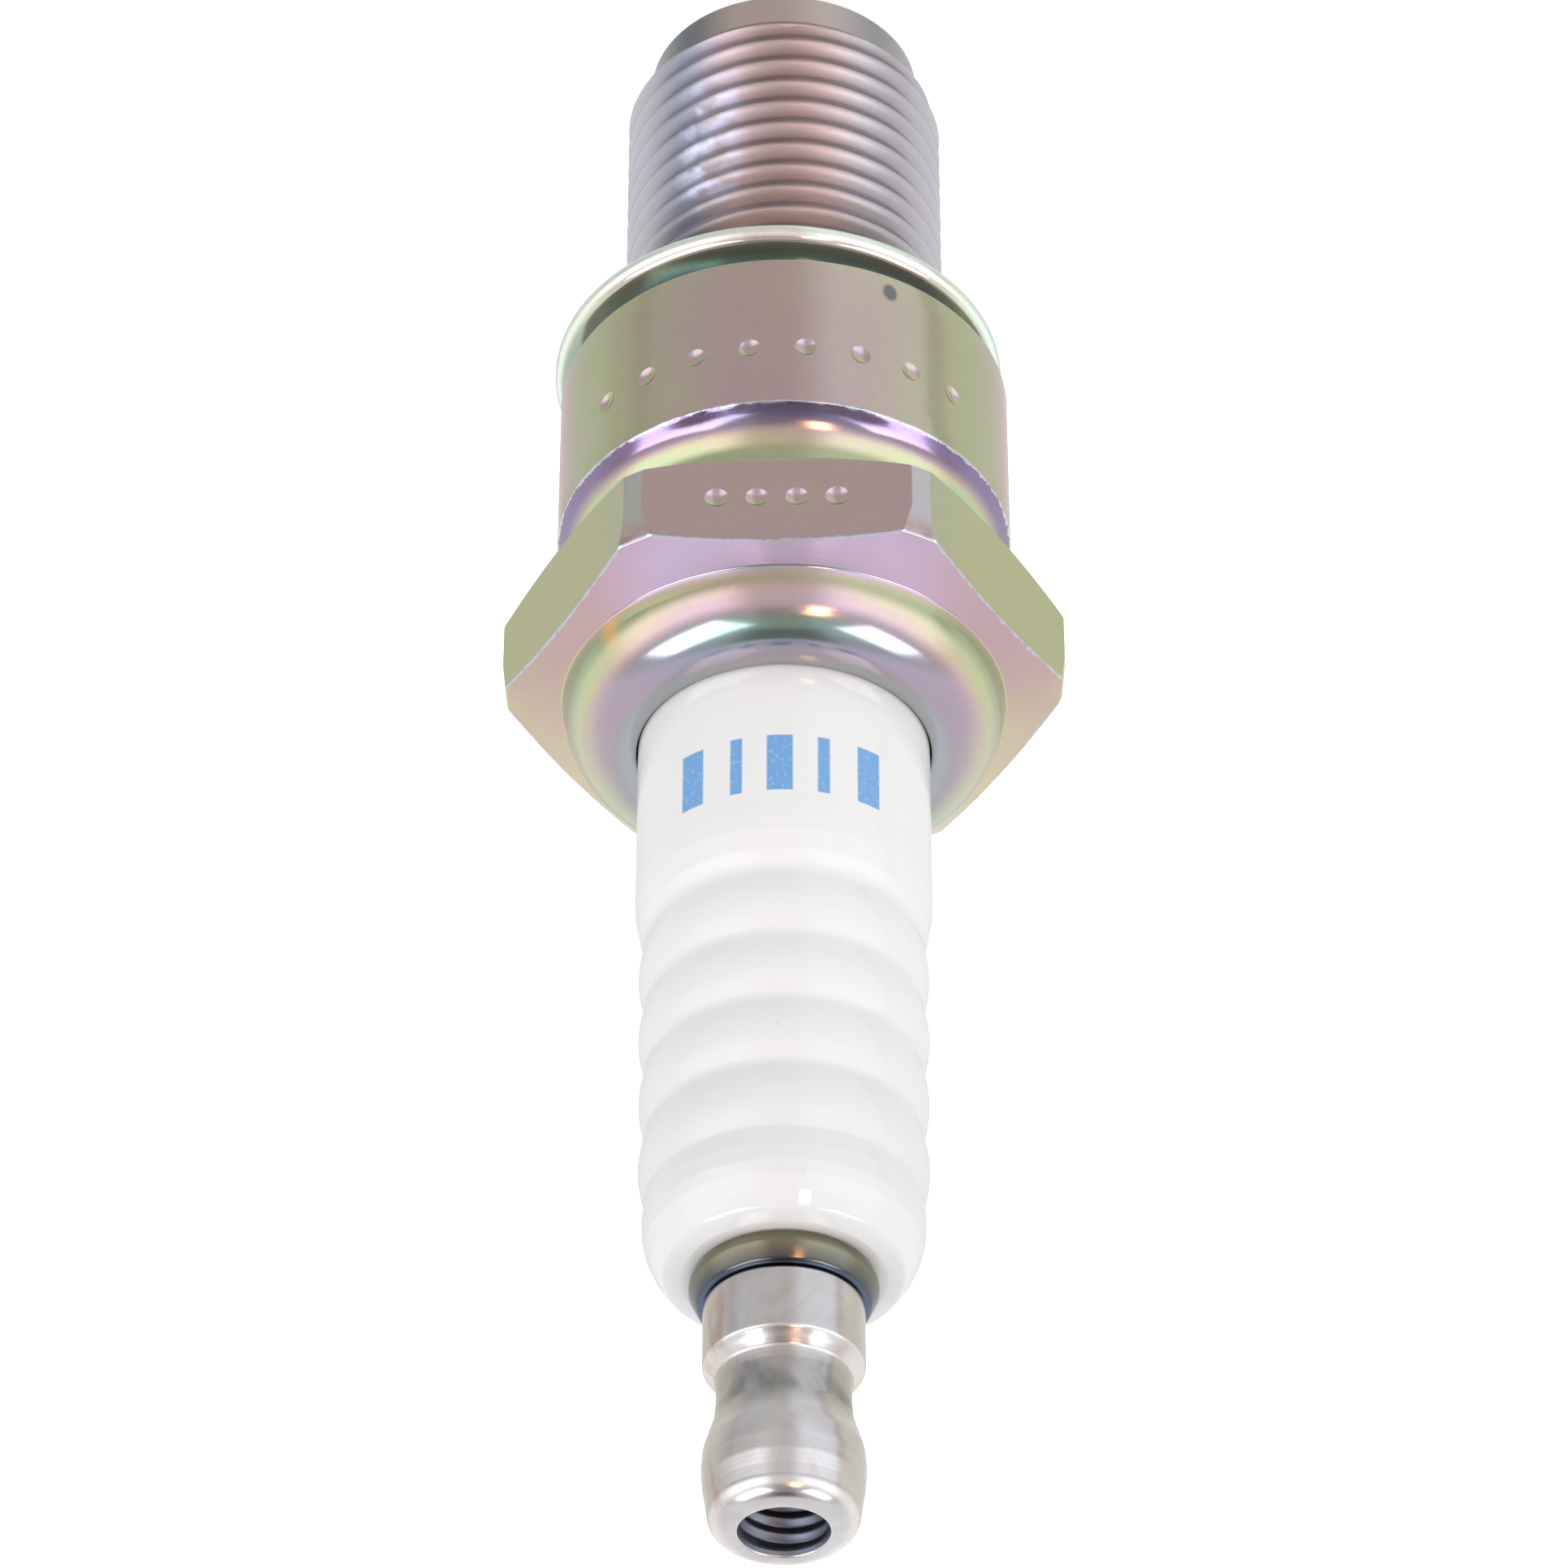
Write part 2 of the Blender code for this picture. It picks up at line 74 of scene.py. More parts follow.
SHELL_LOW, SHELL_HIGH = box_mm("metal_shell")
GASKET_LOW, GASKET_HIGH = box_mm("gasket")
INSULATOR_LOW, INSULATOR_HIGH = box_mm("insulator")
STUD_LOW, STUD_HIGH = box_mm("terminal_stud")
NUT_LOW, NUT_HIGH = box_mm("terminal_nut")
STRAP_LOW, STRAP_HIGH = box_mm("ground_electrode")
JACKET_LOW, JACKET_HIGH = box_mm("centre_electrode_jacket")

SHELL_SIDES = 192
ROUND_SIDES = 192
NUT_SIDES = 144
THREAD_ROWS = 20

HEX_FLAT = SHELL_HIGH.y
HEX_CORNER = SHELL_HIGH.x - 0.06
SHELL_END = SHELL_LOW.z
SEAT = GASKET_HIGH.z + 0.05
BARREL = 9.62
BARREL_TOP = 10.12
NECK_ARC = 1.95
HEX_BOTTOM = 13.90
HEX_TOP = 18.69
CRIMP = (6.80, 18.90)
CRIMP_RADII = (2.35, SHELL_HIGH.z - 18.90)
SHELL_BORE = 7.60
PILOT = 5.93
RELIEF = 6.20
THREAD = 6.93
THREAD_LOW = SHELL_END + 1.55
THREAD_HIGH = -0.55
RUN_OUT = -1.15
PITCH = 1.25
DEPTH_PER_PITCH = 0.541
CHAMFER_OUTER = (HEX_CORNER - 0.16, HEX_TOP - 0.77)
CHAMFER_INNER = (CRIMP[0] + CRIMP_RADII[0] + 0.08, HEX_TOP - 0.02)
DOT_SPHERE = 0.85
DOT_DEPTH = 0.14
BURR_SEED = 5
BURRS_PER_MM = 9.0
BURR_SIZE = 0.03
BARREL_DOTS = 7.1
HEX_DOTS = 16.0
COLLAR = 6.05
TERMINAL_PITCH = 0.70
TERMINAL_ROWS = 14
STUD_THREAD = 1.96
STUD_CORE = 1.50
NUT_BORE = 1.68
NUT_THREAD_LOW = NUT_HIGH.z - 4.0
NUT_THREAD_HIGH = NUT_HIGH.z - 0.45

# Plating: a clear film on metal that also reflects like a very dense dielectric
PLATING_IOR = 8.0
FILM_IOR = 1.50
PLATED_METAL = 0.50

# Thickness of the shell's film in nanometres at heights in millimetres
SHELL_FILM = (
    (-16.0, 466.0), (-14.0, 450.0), (-0.5, 450.0), (2.2, 468.0), (10.0, 468.0), (10.25, 470.0),
    (10.6, 458.0), (11.0, 404.0), (13.8, 404.0), (14.2, 470.0), (17.7, 470.0), (18.05, 480.0),
    (18.72, 480.0), (19.0, 424.0), (20.3, 442.0), (20.9, 490.0),
)

# Printed bars: (degrees round the collar, half width in degrees), and their heights
PRINTED_BARS = ((-36, 5.0), (-17, 2.4), (0, 5.0), (17, 2.4), (36, 5.0))
PRINT_LOW, PRINT_HIGH = 24.9, 27.7
PRINT_BLUR = 0.03

# Level below the horizon: (first bearing, last bearing, change between them)
GROUND_LEVEL = 0.86
GROUND_STEPS = (
    (-95, -89, -0.18), (-83, -77, 0.34), (-32, -4, -0.34),
    (68, 73, -0.10), (80, 86, 0.10), (92, 112, 0.12),
)


# Outline helpers


def arc(centre, radii, start, end, steps):
    """(radius, height, fillet) points of an elliptical arc, angles in degrees."""
    points = []
    for step in range(steps + 1):
        angle = math.radians(start + (end - start) * step / steps)
        radius = centre[0] + radii[0] * math.cos(angle)
        points.append((radius, centre[1] + radii[1] * math.sin(angle), 0.0))
    return points


def rounded(corners, closed=False, steps=5):
    """Replace each corner that has a fillet by a short curve between its sides."""
    count = len(corners)
    points = []
    for index, (radius, height, fillet) in enumerate(corners):
        here = Vector((radius, height))
        if fillet <= 0.0 or (not closed and index in (0, count - 1)):
            points.append(here)
            continue
        before = Vector(corners[index - 1][:2])
        after = Vector(corners[(index + 1) % count][:2])
        back = (before - here).normalized()
        ahead = (after - here).normalized()
        half_angle = back.angle(ahead) / 2
        shorter = min((before - here).length, (after - here).length)
        reach = min(fillet / math.tan(half_angle), 0.45 * shorter)
        start = here + back * reach
        end = here + ahead * reach
        for step in range(steps + 1):
            share = step / steps
            points.append(start * (1 - share) ** 2 + here * 2 * share * (1 - share) + end * share ** 2)
    return points


def split_long(points, longest, closed=False):
    """Add points so that no side of the outline is longer than a limit."""
    result = []
    last = len(points) if closed else len(points) - 1
    for index in range(last):
        start = points[index]
        end = points[(index + 1) % len(points)]
        parts = max(1, math.ceil((end - start).length / longest))
        result += [start.lerp(end, part / parts) for part in range(parts)]
    if not closed:
        result.append(points[-1])
    return result


# Mesh helpers


def add_rings(data, points, sides, closed=False):
    """Spin points around the axis into a bmesh."""
    rings = []
    for point in points:
        if point.x < 1e-6:
            rings.append([data.verts.new((0.0, 0.0, point.y * MM))] * sides)
            continue
        ring = []
        for side in range(sides):
            angle = math.tau * side / sides
            place = (point.x * math.cos(angle) * MM, point.x * math.sin(angle) * MM, point.y * MM)
            ring.append(data.verts.new(place))
        rings.append(ring)
    pairs = list(zip(rings, rings[1:]))
    if closed:
        pairs.append((rings[-1], rings[0]))
    for low, high in pairs:
        for side in range(sides):
            follow = (side + 1) % sides
            corners = []
            for vert in (low[side], low[follow], high[follow], high[side]):
                if vert not in corners:
                    corners.append(vert)
            if len(corners) > 2:
                data.faces.new(corners)


def add_thread(data, sides, pitch, low, high, radius_at, rows=THREAD_ROWS):
    """Sleeve whose rows climb with the helix, cut square at both ends."""
    step = pitch / rows
    count = math.ceil((high - low) / step) + rows
    columns = []
    for side in range(sides + 1):
        share = side / sides
        column = []
        for row in range(-rows, count + 1):
            height = low + row * step + pitch * share
            clamped = min(max(height, low), high)
            phase = (row / rows) % 1.0
            radius = radius_at(phase, clamped)
            angle = math.tau * share
            place = (radius * math.cos(angle) * MM, radius * math.sin(angle) * MM, clamped * MM)
            column.append(data.verts.new(place))
        columns.append(column)
    for first, second in zip(columns, columns[1:]):
        for row in range(len(first) - 1):
            data.faces.new((first[row], second[row], second[row + 1], first[row + 1]))


def outside_thread(radius, depth, cones):
    """Radius of a rolled thread at a phase, kept inside lead-in cones (height, radius, slope)."""
    def radius_at(phase, height):
        away = abs(phase - 0.5) * 2
        flank_shade_and_reflection = min(max((away - 0.14) / 0.80, 0.0), 1.0)
        swell = flank_shade_and_reflection * flank_shade_and_reflection * (3 - 2 * flank_shade_and_reflection) * 0.6 + flank_shade_and_reflection * 0.4
        result = radius - depth * (1 - swell)
        for start, base, slope in cones:
            result = min(result, base + max((height - start) * slope, 0.0))
        return result
    return radius_at


def to_object(name, data, weld=2e-7):
    """Weld, clean and shade a bmesh, and link it as an object."""
    bmesh.ops.remove_doubles(data, verts=data.verts, dist=weld)
    bmesh.ops.dissolve_degenerate(data, edges=data.edges, dist=1e-8)
    bmesh.ops.recalc_face_normals(data, faces=data.faces)
    for face in data.faces:
        face.smooth = True
    mesh = bpy.data.meshes.new(name)
    data.to_mesh(mesh)
    data.free()
    piece = bpy.data.objects.new(name, mesh)
    bpy.context.scene.collection.objects.link(piece)
    return piece


def place_piece(piece, body, slot, *nodes):
    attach(piece, body)
    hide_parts(*nodes)
    return piece


def difference(piece, cutter):
    """Cut one mesh from another and keep the result."""
    modifier = piece.modifiers.new("cut", "BOOLEAN")
    modifier.operation = "DIFFERENCE"
    modifier.solver = "EXACT"
    modifier.object = cutter
    depsgraph = bpy.context.evaluated_depsgraph_get()
    mesh = bpy.data.meshes.new_from_object(piece.evaluated_get(depsgraph))
    old = piece.data
    piece.modifiers.clear()
    piece.data = mesh
    bpy.data.meshes.remove(old)
    bpy.data.objects.remove(cutter)


def sharpen_edges(piece, degrees):
    """Keep edges steeper than an angle sharp in the shading."""
    data = bmesh.new()
    data.from_mesh(piece.data)
    for edge in data.edges:
        edge.smooth = len(edge.link_faces) != 2 or edge.calc_face_angle(0.0) < math.radians(degrees)
    for face in data.faces:
        face.smooth = True
    data.to_mesh(piece.data)
    data.free()


# Shell


def shell_outline():
    """From the end of the thread's sleeve round the bore and back down to its start."""
    neck_height = HEX_BOTTOM - NECK_ARC
    neck_start = math.degrees(math.acos((HEX_FLAT - BARREL) / NECK_ARC))
    outline = [
        (RELIEF, THREAD_HIGH, 0.0), (RELIEF, SEAT, 0.12), (BARREL, SEAT, 0.14),
        (BARREL, neck_height - NECK_ARC * math.sin(math.radians(neck_start)) - 0.03, 0.05),
    ]
    outline += arc((HEX_FLAT, neck_height), (NECK_ARC, NECK_ARC), 180 + neck_start, 90, 28)[1:]
    outline += [
        (HEX_CORNER, HEX_BOTTOM + 0.52, 0.12), (HEX_CORNER, HEX_BOTTOM + 2.60, 1.2),
        (*CHAMFER_OUTER, 0.14), (*CHAMFER_INNER, 0.16),
    ]
    outline += arc(CRIMP, CRIMP_RADII, 4, 100, 30)
    outline += [
        (COLLAR + 0.06, CRIMP[1] + CRIMP_RADII[1] - 0.09, 0.12), (COLLAR + 0.06, 20.50, 0.1),
        (SHELL_BORE - 0.6, 20.10, 0.3), (SHELL_BORE, 19.0, 0.4), (SHELL_BORE, 5.10, 0.2),
        (4.85, 2.70, 0.2), (4.85, -7.18, 0.1), (3.95, -7.70, 0.1), (3.95, -9.0, 0.2),
        (4.70, -9.60, 0.2), (4.70, SHELL_END, 0.12), (PILOT, SHELL_END, 0.14),
        (PILOT, THREAD_LOW, 0.0),
    ]
    return split_long(rounded(outline), 1.2)


def punch_dots(places, sphere_radius, depth):
    """Spheres that leave a row of round dimples; places are (radius, angle, height)."""
    data = bmesh.new()
    for radius, degrees, height in places:
        angle = math.radians(degrees)
        reach = (radius + sphere_radius - depth) * MM
        spot = Vector((reach * math.cos(angle), reach * math.sin(angle), height * MM))
        bmesh.ops.create_icosphere(
            data, subdivisions=4, radius=sphere_radius * MM, matrix=Matrix.Translation(spot),
        )
    return to_object("dot_cutter", data, weld=0.0)


def hexagon_tube():
    """Tube with a hexagonal hole, which cuts the flats from the turned shell."""
    data = bmesh.new()
    inner = HEX_FLAT / math.cos(math.pi / 6)
    outer = inner + 4
    low = HEX_BOTTOM - 1.7
    high = HEX_TOP + 0.8
    corners = [Vector((inner, low)), Vector((outer, low)), Vector((outer, high)), Vector((inner, high))]
    add_rings(data, corners, 6, closed=True)
    return to_object("hexagon_cutter", data)


def roughen_edges(piece):
    """Push the vertices of the barrel's edge below the neck about a little, as burrs.

    noise_vector takes its offsets from the clock unless it is given a seed.
    """
    noise.seed_set(BURR_SEED)
    for vert in piece.data.vertices:
        point = vert.co / MM
        if math.hypot(point.x, point.y) > BARREL - 0.22 and abs(point.z - BARREL_TOP) < 0.12:
            vert.co += noise.noise_vector(point * BURRS_PER_MM) * BURR_SIZE * MM


def make_shell():
    """Threaded shell with its barrel, thin neck, hexagon and rolled lip."""
    data = bmesh.new()
    add_rings(data, shell_outline(), SHELL_SIDES)
    lead_in = [(THREAD_LOW, PILOT, (THREAD - PILOT) / 1.2)]
    thread = outside_thread(THREAD, DEPTH_PER_PITCH * PITCH, lead_in)

    def radius_at(phase, height):
        if height > RUN_OUT:
            return min(thread(phase, height), THREAD - (height - RUN_OUT) * (THREAD - RELIEF) / 0.60)
        return thread(phase, height)

    add_thread(data, SHELL_SIDES, PITCH, THREAD_LOW, THREAD_HIGH, radius_at)
    shell = to_object("threaded_shell", data, weld=1e-6)
    difference(shell, hexagon_tube())
    dots = [(BARREL, -90 + turn, BARREL_DOTS) for turn in range(-49, 50, 14)]
    for turn in (-12.5, -4.2, 4.2, 12.5):
        dots.append((HEX_FLAT / math.cos(math.radians(turn)), -90 + turn, HEX_DOTS))
    difference(shell, punch_dots(dots, DOT_SPHERE, DOT_DEPTH))
    roughen_edges(shell)
    sharpen_edges(shell, 24)
    return place_piece(shell, "plug_body", "plated_shell", "metal_shell")


# Gasket


def offset_line(path, distance):
    """The path moved sideways by a distance."""
    moved = []
    for index, point in enumerate(path):
        before = path[max(index - 1, 0)]
        after = path[min(index + 1, len(path) - 1)]
        along = ((point - before).normalized() + (after - point).normalized()).normalized()
        moved.append(point + Vector((-along.y, along.x)) * distance)
    return moved


def make_gasket():
    """Ring folded from one strip of sheet: two layers at the rim, three inside."""
    sheet = 0.38
    half = sheet / 2
    high = GASKET_HIGH.z
    outer_radius = (GASKET_HIGH.x - GASKET_LOW.x) / 2
    rim = 0.30
    rim_centre = outer_radius - half - rim
    inner_radius = 6.75
    bend = 0.28
    bend_centre = (inner_radius + half + bend, high - half - bend)
    path = [Vector((inner_radius, half)), Vector((rim_centre, half))]
    path += [Vector(point[:2]) for point in arc((rim_centre, half + rim), (rim, rim), -85, 78, 20)]
    path += [Vector((8.75, half + 2 * rim + 0.08)), Vector((8.30, half + 2 * rim + 0.30))]
    path += [Vector((7.80, bend_centre[1] - bend + 0.01))]
    path += [Vector(point[:2]) for point in arc(bend_centre, (bend, bend), 270, 90, 14)]
    path += [Vector((8.05, high - half)), Vector((8.30, high - half - 0.12))]
    outline = offset_line(path, half) + list(reversed(offset_line(path, -half)))
    data = bmesh.new()
    add_rings(data, outline, ROUND_SIDES, closed=True)
    gasket = to_object("folded_gasket", data)
    gasket.location.x = (GASKET_HIGH.x + GASKET_LOW.x) / 2 * MM
    sharpen_edges(gasket, 50)
    return place_piece(gasket, "loose_gasket", "plated_gasket", "gasket")


# Insulator


def insulator_outline():
    top = INSULATOR_HIGH.z
    tip = INSULATOR_LOW.z
    outline = [
        (1.32, tip, 0.1), (2.48, tip, 0.3), (3.45, -10.10, 1.0), (3.80, -9.10, 0.4), (3.80, -7.27, 0.2),
        (4.65, -6.77, 0.2), (4.65, 3.10, 0.3), (7.40, 5.50, 0.4), (7.40, 14.0, 0.4),
        (COLLAR + 0.05, 15.35, 0.3), (COLLAR, 15.80, 0.0), (COLLAR, 27.80, 0.0),
        (COLLAR + 0.02, 28.80, 0.4), (COLLAR - 0.01, 29.55, 0.8), (COLLAR - 0.17, 30.50, 0.6),
    ]
    first_groove = 31.35
    groove_pitch = 3.10
    rib_height = 0.26
    radii = [5.62, 5.60, 5.56, 5.51, 5.52]
    steps = 16
    for index, (low, high) in enumerate(zip(radii, radii[1:])):
        for step in range(steps):
            share = step / steps
            crown = 0.55 * math.sin(math.pi * share) ** 1.5
            crown += 0.45 * (1.0 - abs(2.0 * share - 1.0) ** 2.2)
            outline.append((
                low + (high - low) * share + rib_height * crown,
                first_groove + groove_pitch * (index + share), 0.0,
            ))
    outline += [
        (radii[-1], first_groove + 4 * groove_pitch, 0.3), (5.60, 44.60, 0.5), (5.57, 45.30, 0.6),
        (5.45, 45.85, 0.6), (5.20, 46.45, 0.6), (4.80, top - 0.16, 0.45), (4.05, top, 0.6),
        (2.05, top, 0.1), (2.05, -2.40, 0.0), (1.32, -3.20, 0.0),
    ]
    return split_long(rounded(outline, closed=True), 0.6, closed=True)


def make_insulator():
    """Glazed alumina body."""
    data = bmesh.new()
    add_rings(data, insulator_outline(), ROUND_SIDES, closed=True)
    piece = to_object("glazed_insulator", data)
    return place_piece(piece, "plug_body", "glazed_alumina", "insulator")


# Terminal


def make_stud():
    """Stud with a rounded flange and an M4 thread."""
    flange_low = INSULATOR_HIGH.z + 0.05
    flange_high = flange_low + 1.25
    thread_low = flange_high + 0.45
    thread_high = STUD_HIGH.z - 0.02
    outline = [(0.0, STUD_LOW.z, 0.0), (1.40, STUD_LOW.z, 0.05)]
    for index in range(4):
        base = 12.70 + index * 1.1
        outline += [(1.55, base, 0.05), (1.55, base + 0.55, 0.05)]
        outline += [(1.38, base + 0.70, 0.05), (1.38, base + 0.95, 0.05)]
    outline += [
        (1.55, 17.10, 0.05), (1.55, 18.0, 0.05), (1.85, 18.3, 0.05), (1.85, flange_low, 0.0),
        (3.62, flange_low, 0.16), (3.75, flange_low + 0.42, 0.40), (3.70, flange_high - 0.62, 0.55),
        (3.38, flange_high, 0.30), (STUD_CORE, flange_high, 0.0), (STUD_CORE, thread_low, 0.0),
    ]
    data = bmesh.new()
    add_rings(data, rounded(outline, steps=6), NUT_SIDES)
    lead_in = [(thread_low, STUD_CORE, 1.6)]
    thread = outside_thread(STUD_THREAD, DEPTH_PER_PITCH * TERMINAL_PITCH, lead_in)

    def radius_at(phase, height):
        return min(thread(phase, height), STUD_CORE + max(thread_high - height, 0.0) * 1.1)

    add_thread(data, NUT_SIDES, TERMINAL_PITCH, thread_low, thread_high, radius_at, rows=TERMINAL_ROWS)
    add_rings(data, [Vector((STUD_CORE, thread_high)), Vector((0.0, thread_high))], NUT_SIDES)
    piece = to_object("terminal_stud_fine", data, weld=1e-6)
    return place_piece(piece, "plug_body", "dark_plated_stud", "terminal_stud")


def nut_outline():
    """From the mouth's thread through the bore, and up the outside to the mouth again."""
    low = NUT_LOW.z
    high = NUT_HIGH.z
    dome = (2.14, high - 0.85)
    outline = [
        (NUT_BORE, NUT_THREAD_LOW, 0.0), (2.06, high - 4.15, 0.05), (2.06, low, 0.1), (3.17, low, 0.14),
        (3.17, 51.34, 0.26), (2.68, 51.93, 0.28), (2.63, 52.45, 0.6), (2.63, 53.00, 0.6),
        (2.70, 53.80, 0.8), (2.92, 54.50, 1.0), (3.12, 55.20, 1.2), (3.18, 56.00, 1.2),
        (3.12, 56.80, 1.2), (3.02, 57.40, 0.8), (2.96, dome[1], 0.2),
    ]
    outline += arc(dome, (0.82, 0.85), 6, 90, 14)
    outline += [(1.80, high, 0.10), (1.70, high - 0.22, 0.08), (NUT_BORE, NUT_THREAD_HIGH, 0.0)]
    return split_long(rounded(outline, steps=6), 0.5)


def make_nut():
    """Removable nut with a threaded mouth."""
    data = bmesh.new()
    add_rings(data, nut_outline(), NUT_SIDES)

    def radius_at(phase, height):
        away = abs(phase - 0.5) * 2
        cut = 0.25 * (1 - min(max((away - 0.12) / 0.70, 0.0), 1.0))
        return NUT_BORE + min(cut, (height - NUT_THREAD_LOW) * 1.5, (NUT_THREAD_HIGH - height) * 1.5)

    add_thread(
        data, NUT_SIDES, TERMINAL_PITCH, NUT_THREAD_LOW, NUT_THREAD_HIGH, radius_at, rows=TERMINAL_ROWS,
    )
    piece = to_object("terminal_nut_fine", data, weld=1e-6)
    return place_piece(piece, "screw_terminal", "bright_plated_nut", "terminal_nut")


# Firing end


def make_strap():
    """Bent strap with rounded edges."""
    thickness = 1.10
    half_width = (STRAP_HIGH.x - STRAP_LOW.x) / 2
    half = thickness / 2
    edge = 0.22
    top = STRAP_HIGH.z
    low = STRAP_LOW.z
    middle = low + half
    bend = 1.50
    outer = STRAP_HIGH.y - half
    path = [Vector((outer, top)), Vector((outer, top - 0.4))]
    turn = arc((outer - bend, middle + bend), (bend, bend), 0, -90, 20)
    path += [Vector(point[:2]) for point in turn]
    path += [Vector((0.6, middle)), Vector((STRAP_LOW.y + 0.06, middle)), Vector((STRAP_LOW.y, middle))]
    section = []
    for corner_x, corner_y, start in ((1, 1, 0), (-1, 1, 90), (-1, -1, 180), (1, -1, 270)):
        centre = (corner_x * (half_width - edge), corner_y * (half - edge))
        section += arc(centre, (edge, edge), start, start + 90, 5)
    data = bmesh.new()
    loops = []
    for index, point in enumerate(path):
        before = path[max(index - 1, 0)]
        after = path[min(index + 1, len(path) - 1)]
        along = (after - before).normalized()
        across = Vector((-along.y, along.x))
        shrink = 0.90 if index == len(path) - 1 else 1.0
        loops.append([
            data.verts.new((
                x * shrink * MM, (point.x + across.x * offset * shrink) * MM,
                (point.y + across.y * offset * shrink) * MM,
            ))
            for x, offset, _ in section
        ])
    size = len(section)
    for first, second in zip(loops, loops[1:]):
        for index in range(size):
            follow = (index + 1) % size
            data.faces.new((first[index], first[follow], second[follow], second[index]))
    data.faces.new(loops[0])
    data.faces.new(loops[-1])
    piece = to_object("ground_strap", data)
    sharpen_edges(piece, 40)
    return place_piece(piece, "plug_body", "nickel_alloy", "ground_electrode")


def make_centre_electrode():
    """Jacket with a softly rounded tip and its seating head."""
    tip = JACKET_LOW.z
    head = JACKET_HIGH.z
    outline = [
        (0.0, tip, 0.0), (1.25, tip, 0.14), (1.25, -3.05, 0.1), (1.90, -2.20, 0.1), (1.90, head, 0.1),
        (0.80, head, 0.05), (0.80, tip + 1.95, 0.05), (0.0, tip + 1.95, 0.0),
    ]
    data = bmesh.new()
    add_rings(data, rounded(outline), 96)
    piece = to_object("centre_electrode_fine", data)
    return place_piece(piece, "plug_body", "nickel_alloy", "centre_electrode_jacket")


# Materials


class Nodes:
    """Short calls for building one material's nodes."""

    def __init__(self, name):
        self.material = bpy.data.materials.new(name)
        self.material.use_nodes = True
        self.tree = self.material.node_tree
        self.shader = self.tree.nodes["Principled BSDF"]
        self.place = self.add("ShaderNodeTexCoord")

    def add(self, kind, **values):
        node = self.tree.nodes.new(kind)
        for name, value in values.items():
            setattr(node, name, value)
        return node

    def link(self, source, target):
        self.tree.links.new(source, target)

    def feed(self, socket, value):
        if isinstance(value, bpy.types.NodeSocket):
            self.link(value, socket)
        else:
            socket.default_value = value

    def stretched(self, scale):
        """Object coordinates times a scale for each axis."""
        node = self.add("ShaderNodeVectorMath", operation="MULTIPLY")
        self.link(self.place.outputs["Object"], node.inputs[0])
        node.inputs[1].default_value = scale
        return node.outputs[0]

    def noise(self, per_mm, detail=4.0, roughness=0.55, stretch=(1, 1, 1), distortion=0.0):
        node = self.add("ShaderNodeTexNoise")
        scale = per_mm / MM
        self.link(self.stretched([scale * axis for axis in stretch]), node.inputs["Vector"])
        node.inputs["Scale"].default_value = 1.0
        node.inputs["Detail"].default_value = detail
        node.inputs["Roughness"].default_value = roughness
        node.inputs["Distortion"].default_value = distortion
        return node.outputs["Fac"]

    def math(self, operation, first, second=0.0, third=0.0):
        node = self.add("ShaderNodeMath", operation=operation)
        for socket, value in zip(node.inputs, (first, second, third)):
            self.feed(socket, value)
        return node.outputs[0]

    def spread(self, value, low, high, to_low=0.0, to_high=1.0, smooth=False):
        node = self.add("ShaderNodeMapRange")
        if smooth:
            node.interpolation_type = "SMOOTHSTEP"
        limits = {"From Min": low, "From Max": high, "To Min": to_low, "To Max": to_high}
        for name, number in limits.items():
            node.inputs[name].default_value = number
        self.link(value, node.inputs["Value"])
        return node.outputs["Result"]

    def ramp(self, value, low, high, to_low=0.0, to_high=1.0, smooth=False):
        """Spread of a length in the scene, between limits in millimetres."""
        return self.spread(value, low * MM, high * MM, to_low, to_high, smooth)

    def chain(self, operation, values):
        result = values[0]
        for value in values[1:]:
            result = self.math(operation, result, value)
        return result

    def product(self, *values):
        return self.chain("MULTIPLY", values)

    def largest(self, *values):
        return self.chain("MAXIMUM", values)

    def mix(self, share, first, second):
        node = self.add("ShaderNodeMix", data_type="RGBA")
        self.feed(node.inputs["Factor"], share)
        for socket, colour in ((node.inputs[6], first), (node.inputs[7], second)):
            self.feed(socket, colour if isinstance(colour, bpy.types.NodeSocket) else (*colour, 1.0))
        return node.outputs[2]

    def axis(self, name, source="Object"):
        """One coordinate of the surface point, in metres, or of its normal."""
        node = self.add("ShaderNodeSeparateXYZ")
        self.link(self.place.outputs[source], node.inputs[0])
        return node.outputs[name]

    def radius(self):
        """Distance from the plug's axis, in metres."""
        squares = [self.math("POWER", self.axis(name), 2.0) for name in "XY"]
        return self.math("SQRT", self.math("ADD", *squares))

    def distance(self, point, stretch=(1.0, 1.0, 1.0)):
        """Distance from a point in millimetres, in metres, along stretched axes."""
        node = self.add("ShaderNodeVectorMath", operation="DISTANCE")
        self.link(self.stretched(stretch), node.inputs[0])
        node.inputs[1].default_value = [value * scale * MM for value, scale in zip(point, stretch)]
        return node.outputs["Value"]

    def bump(self, height, depth_mm, strength=1.0, before=None):
        node = self.add("ShaderNodeBump")
        node.inputs["Strength"].default_value = strength
        node.inputs["Distance"].default_value = depth_mm * MM
        self.link(height, node.inputs["Height"])
        if before is not None:
            self.link(before, node.inputs["Normal"])
        return node.outputs["Normal"]

    def finish(self, colour, roughness, normal=None, **sockets):
        self.feed(self.shader.inputs["Base Color"], colour)
        self.feed(self.shader.inputs["Roughness"], roughness)
        if normal is not None:
            self.link(normal, self.shader.inputs["Normal"])
        for name, value in sockets.items():
            self.feed(self.shader.inputs[name.replace("_", " ")], value)
        return self.material


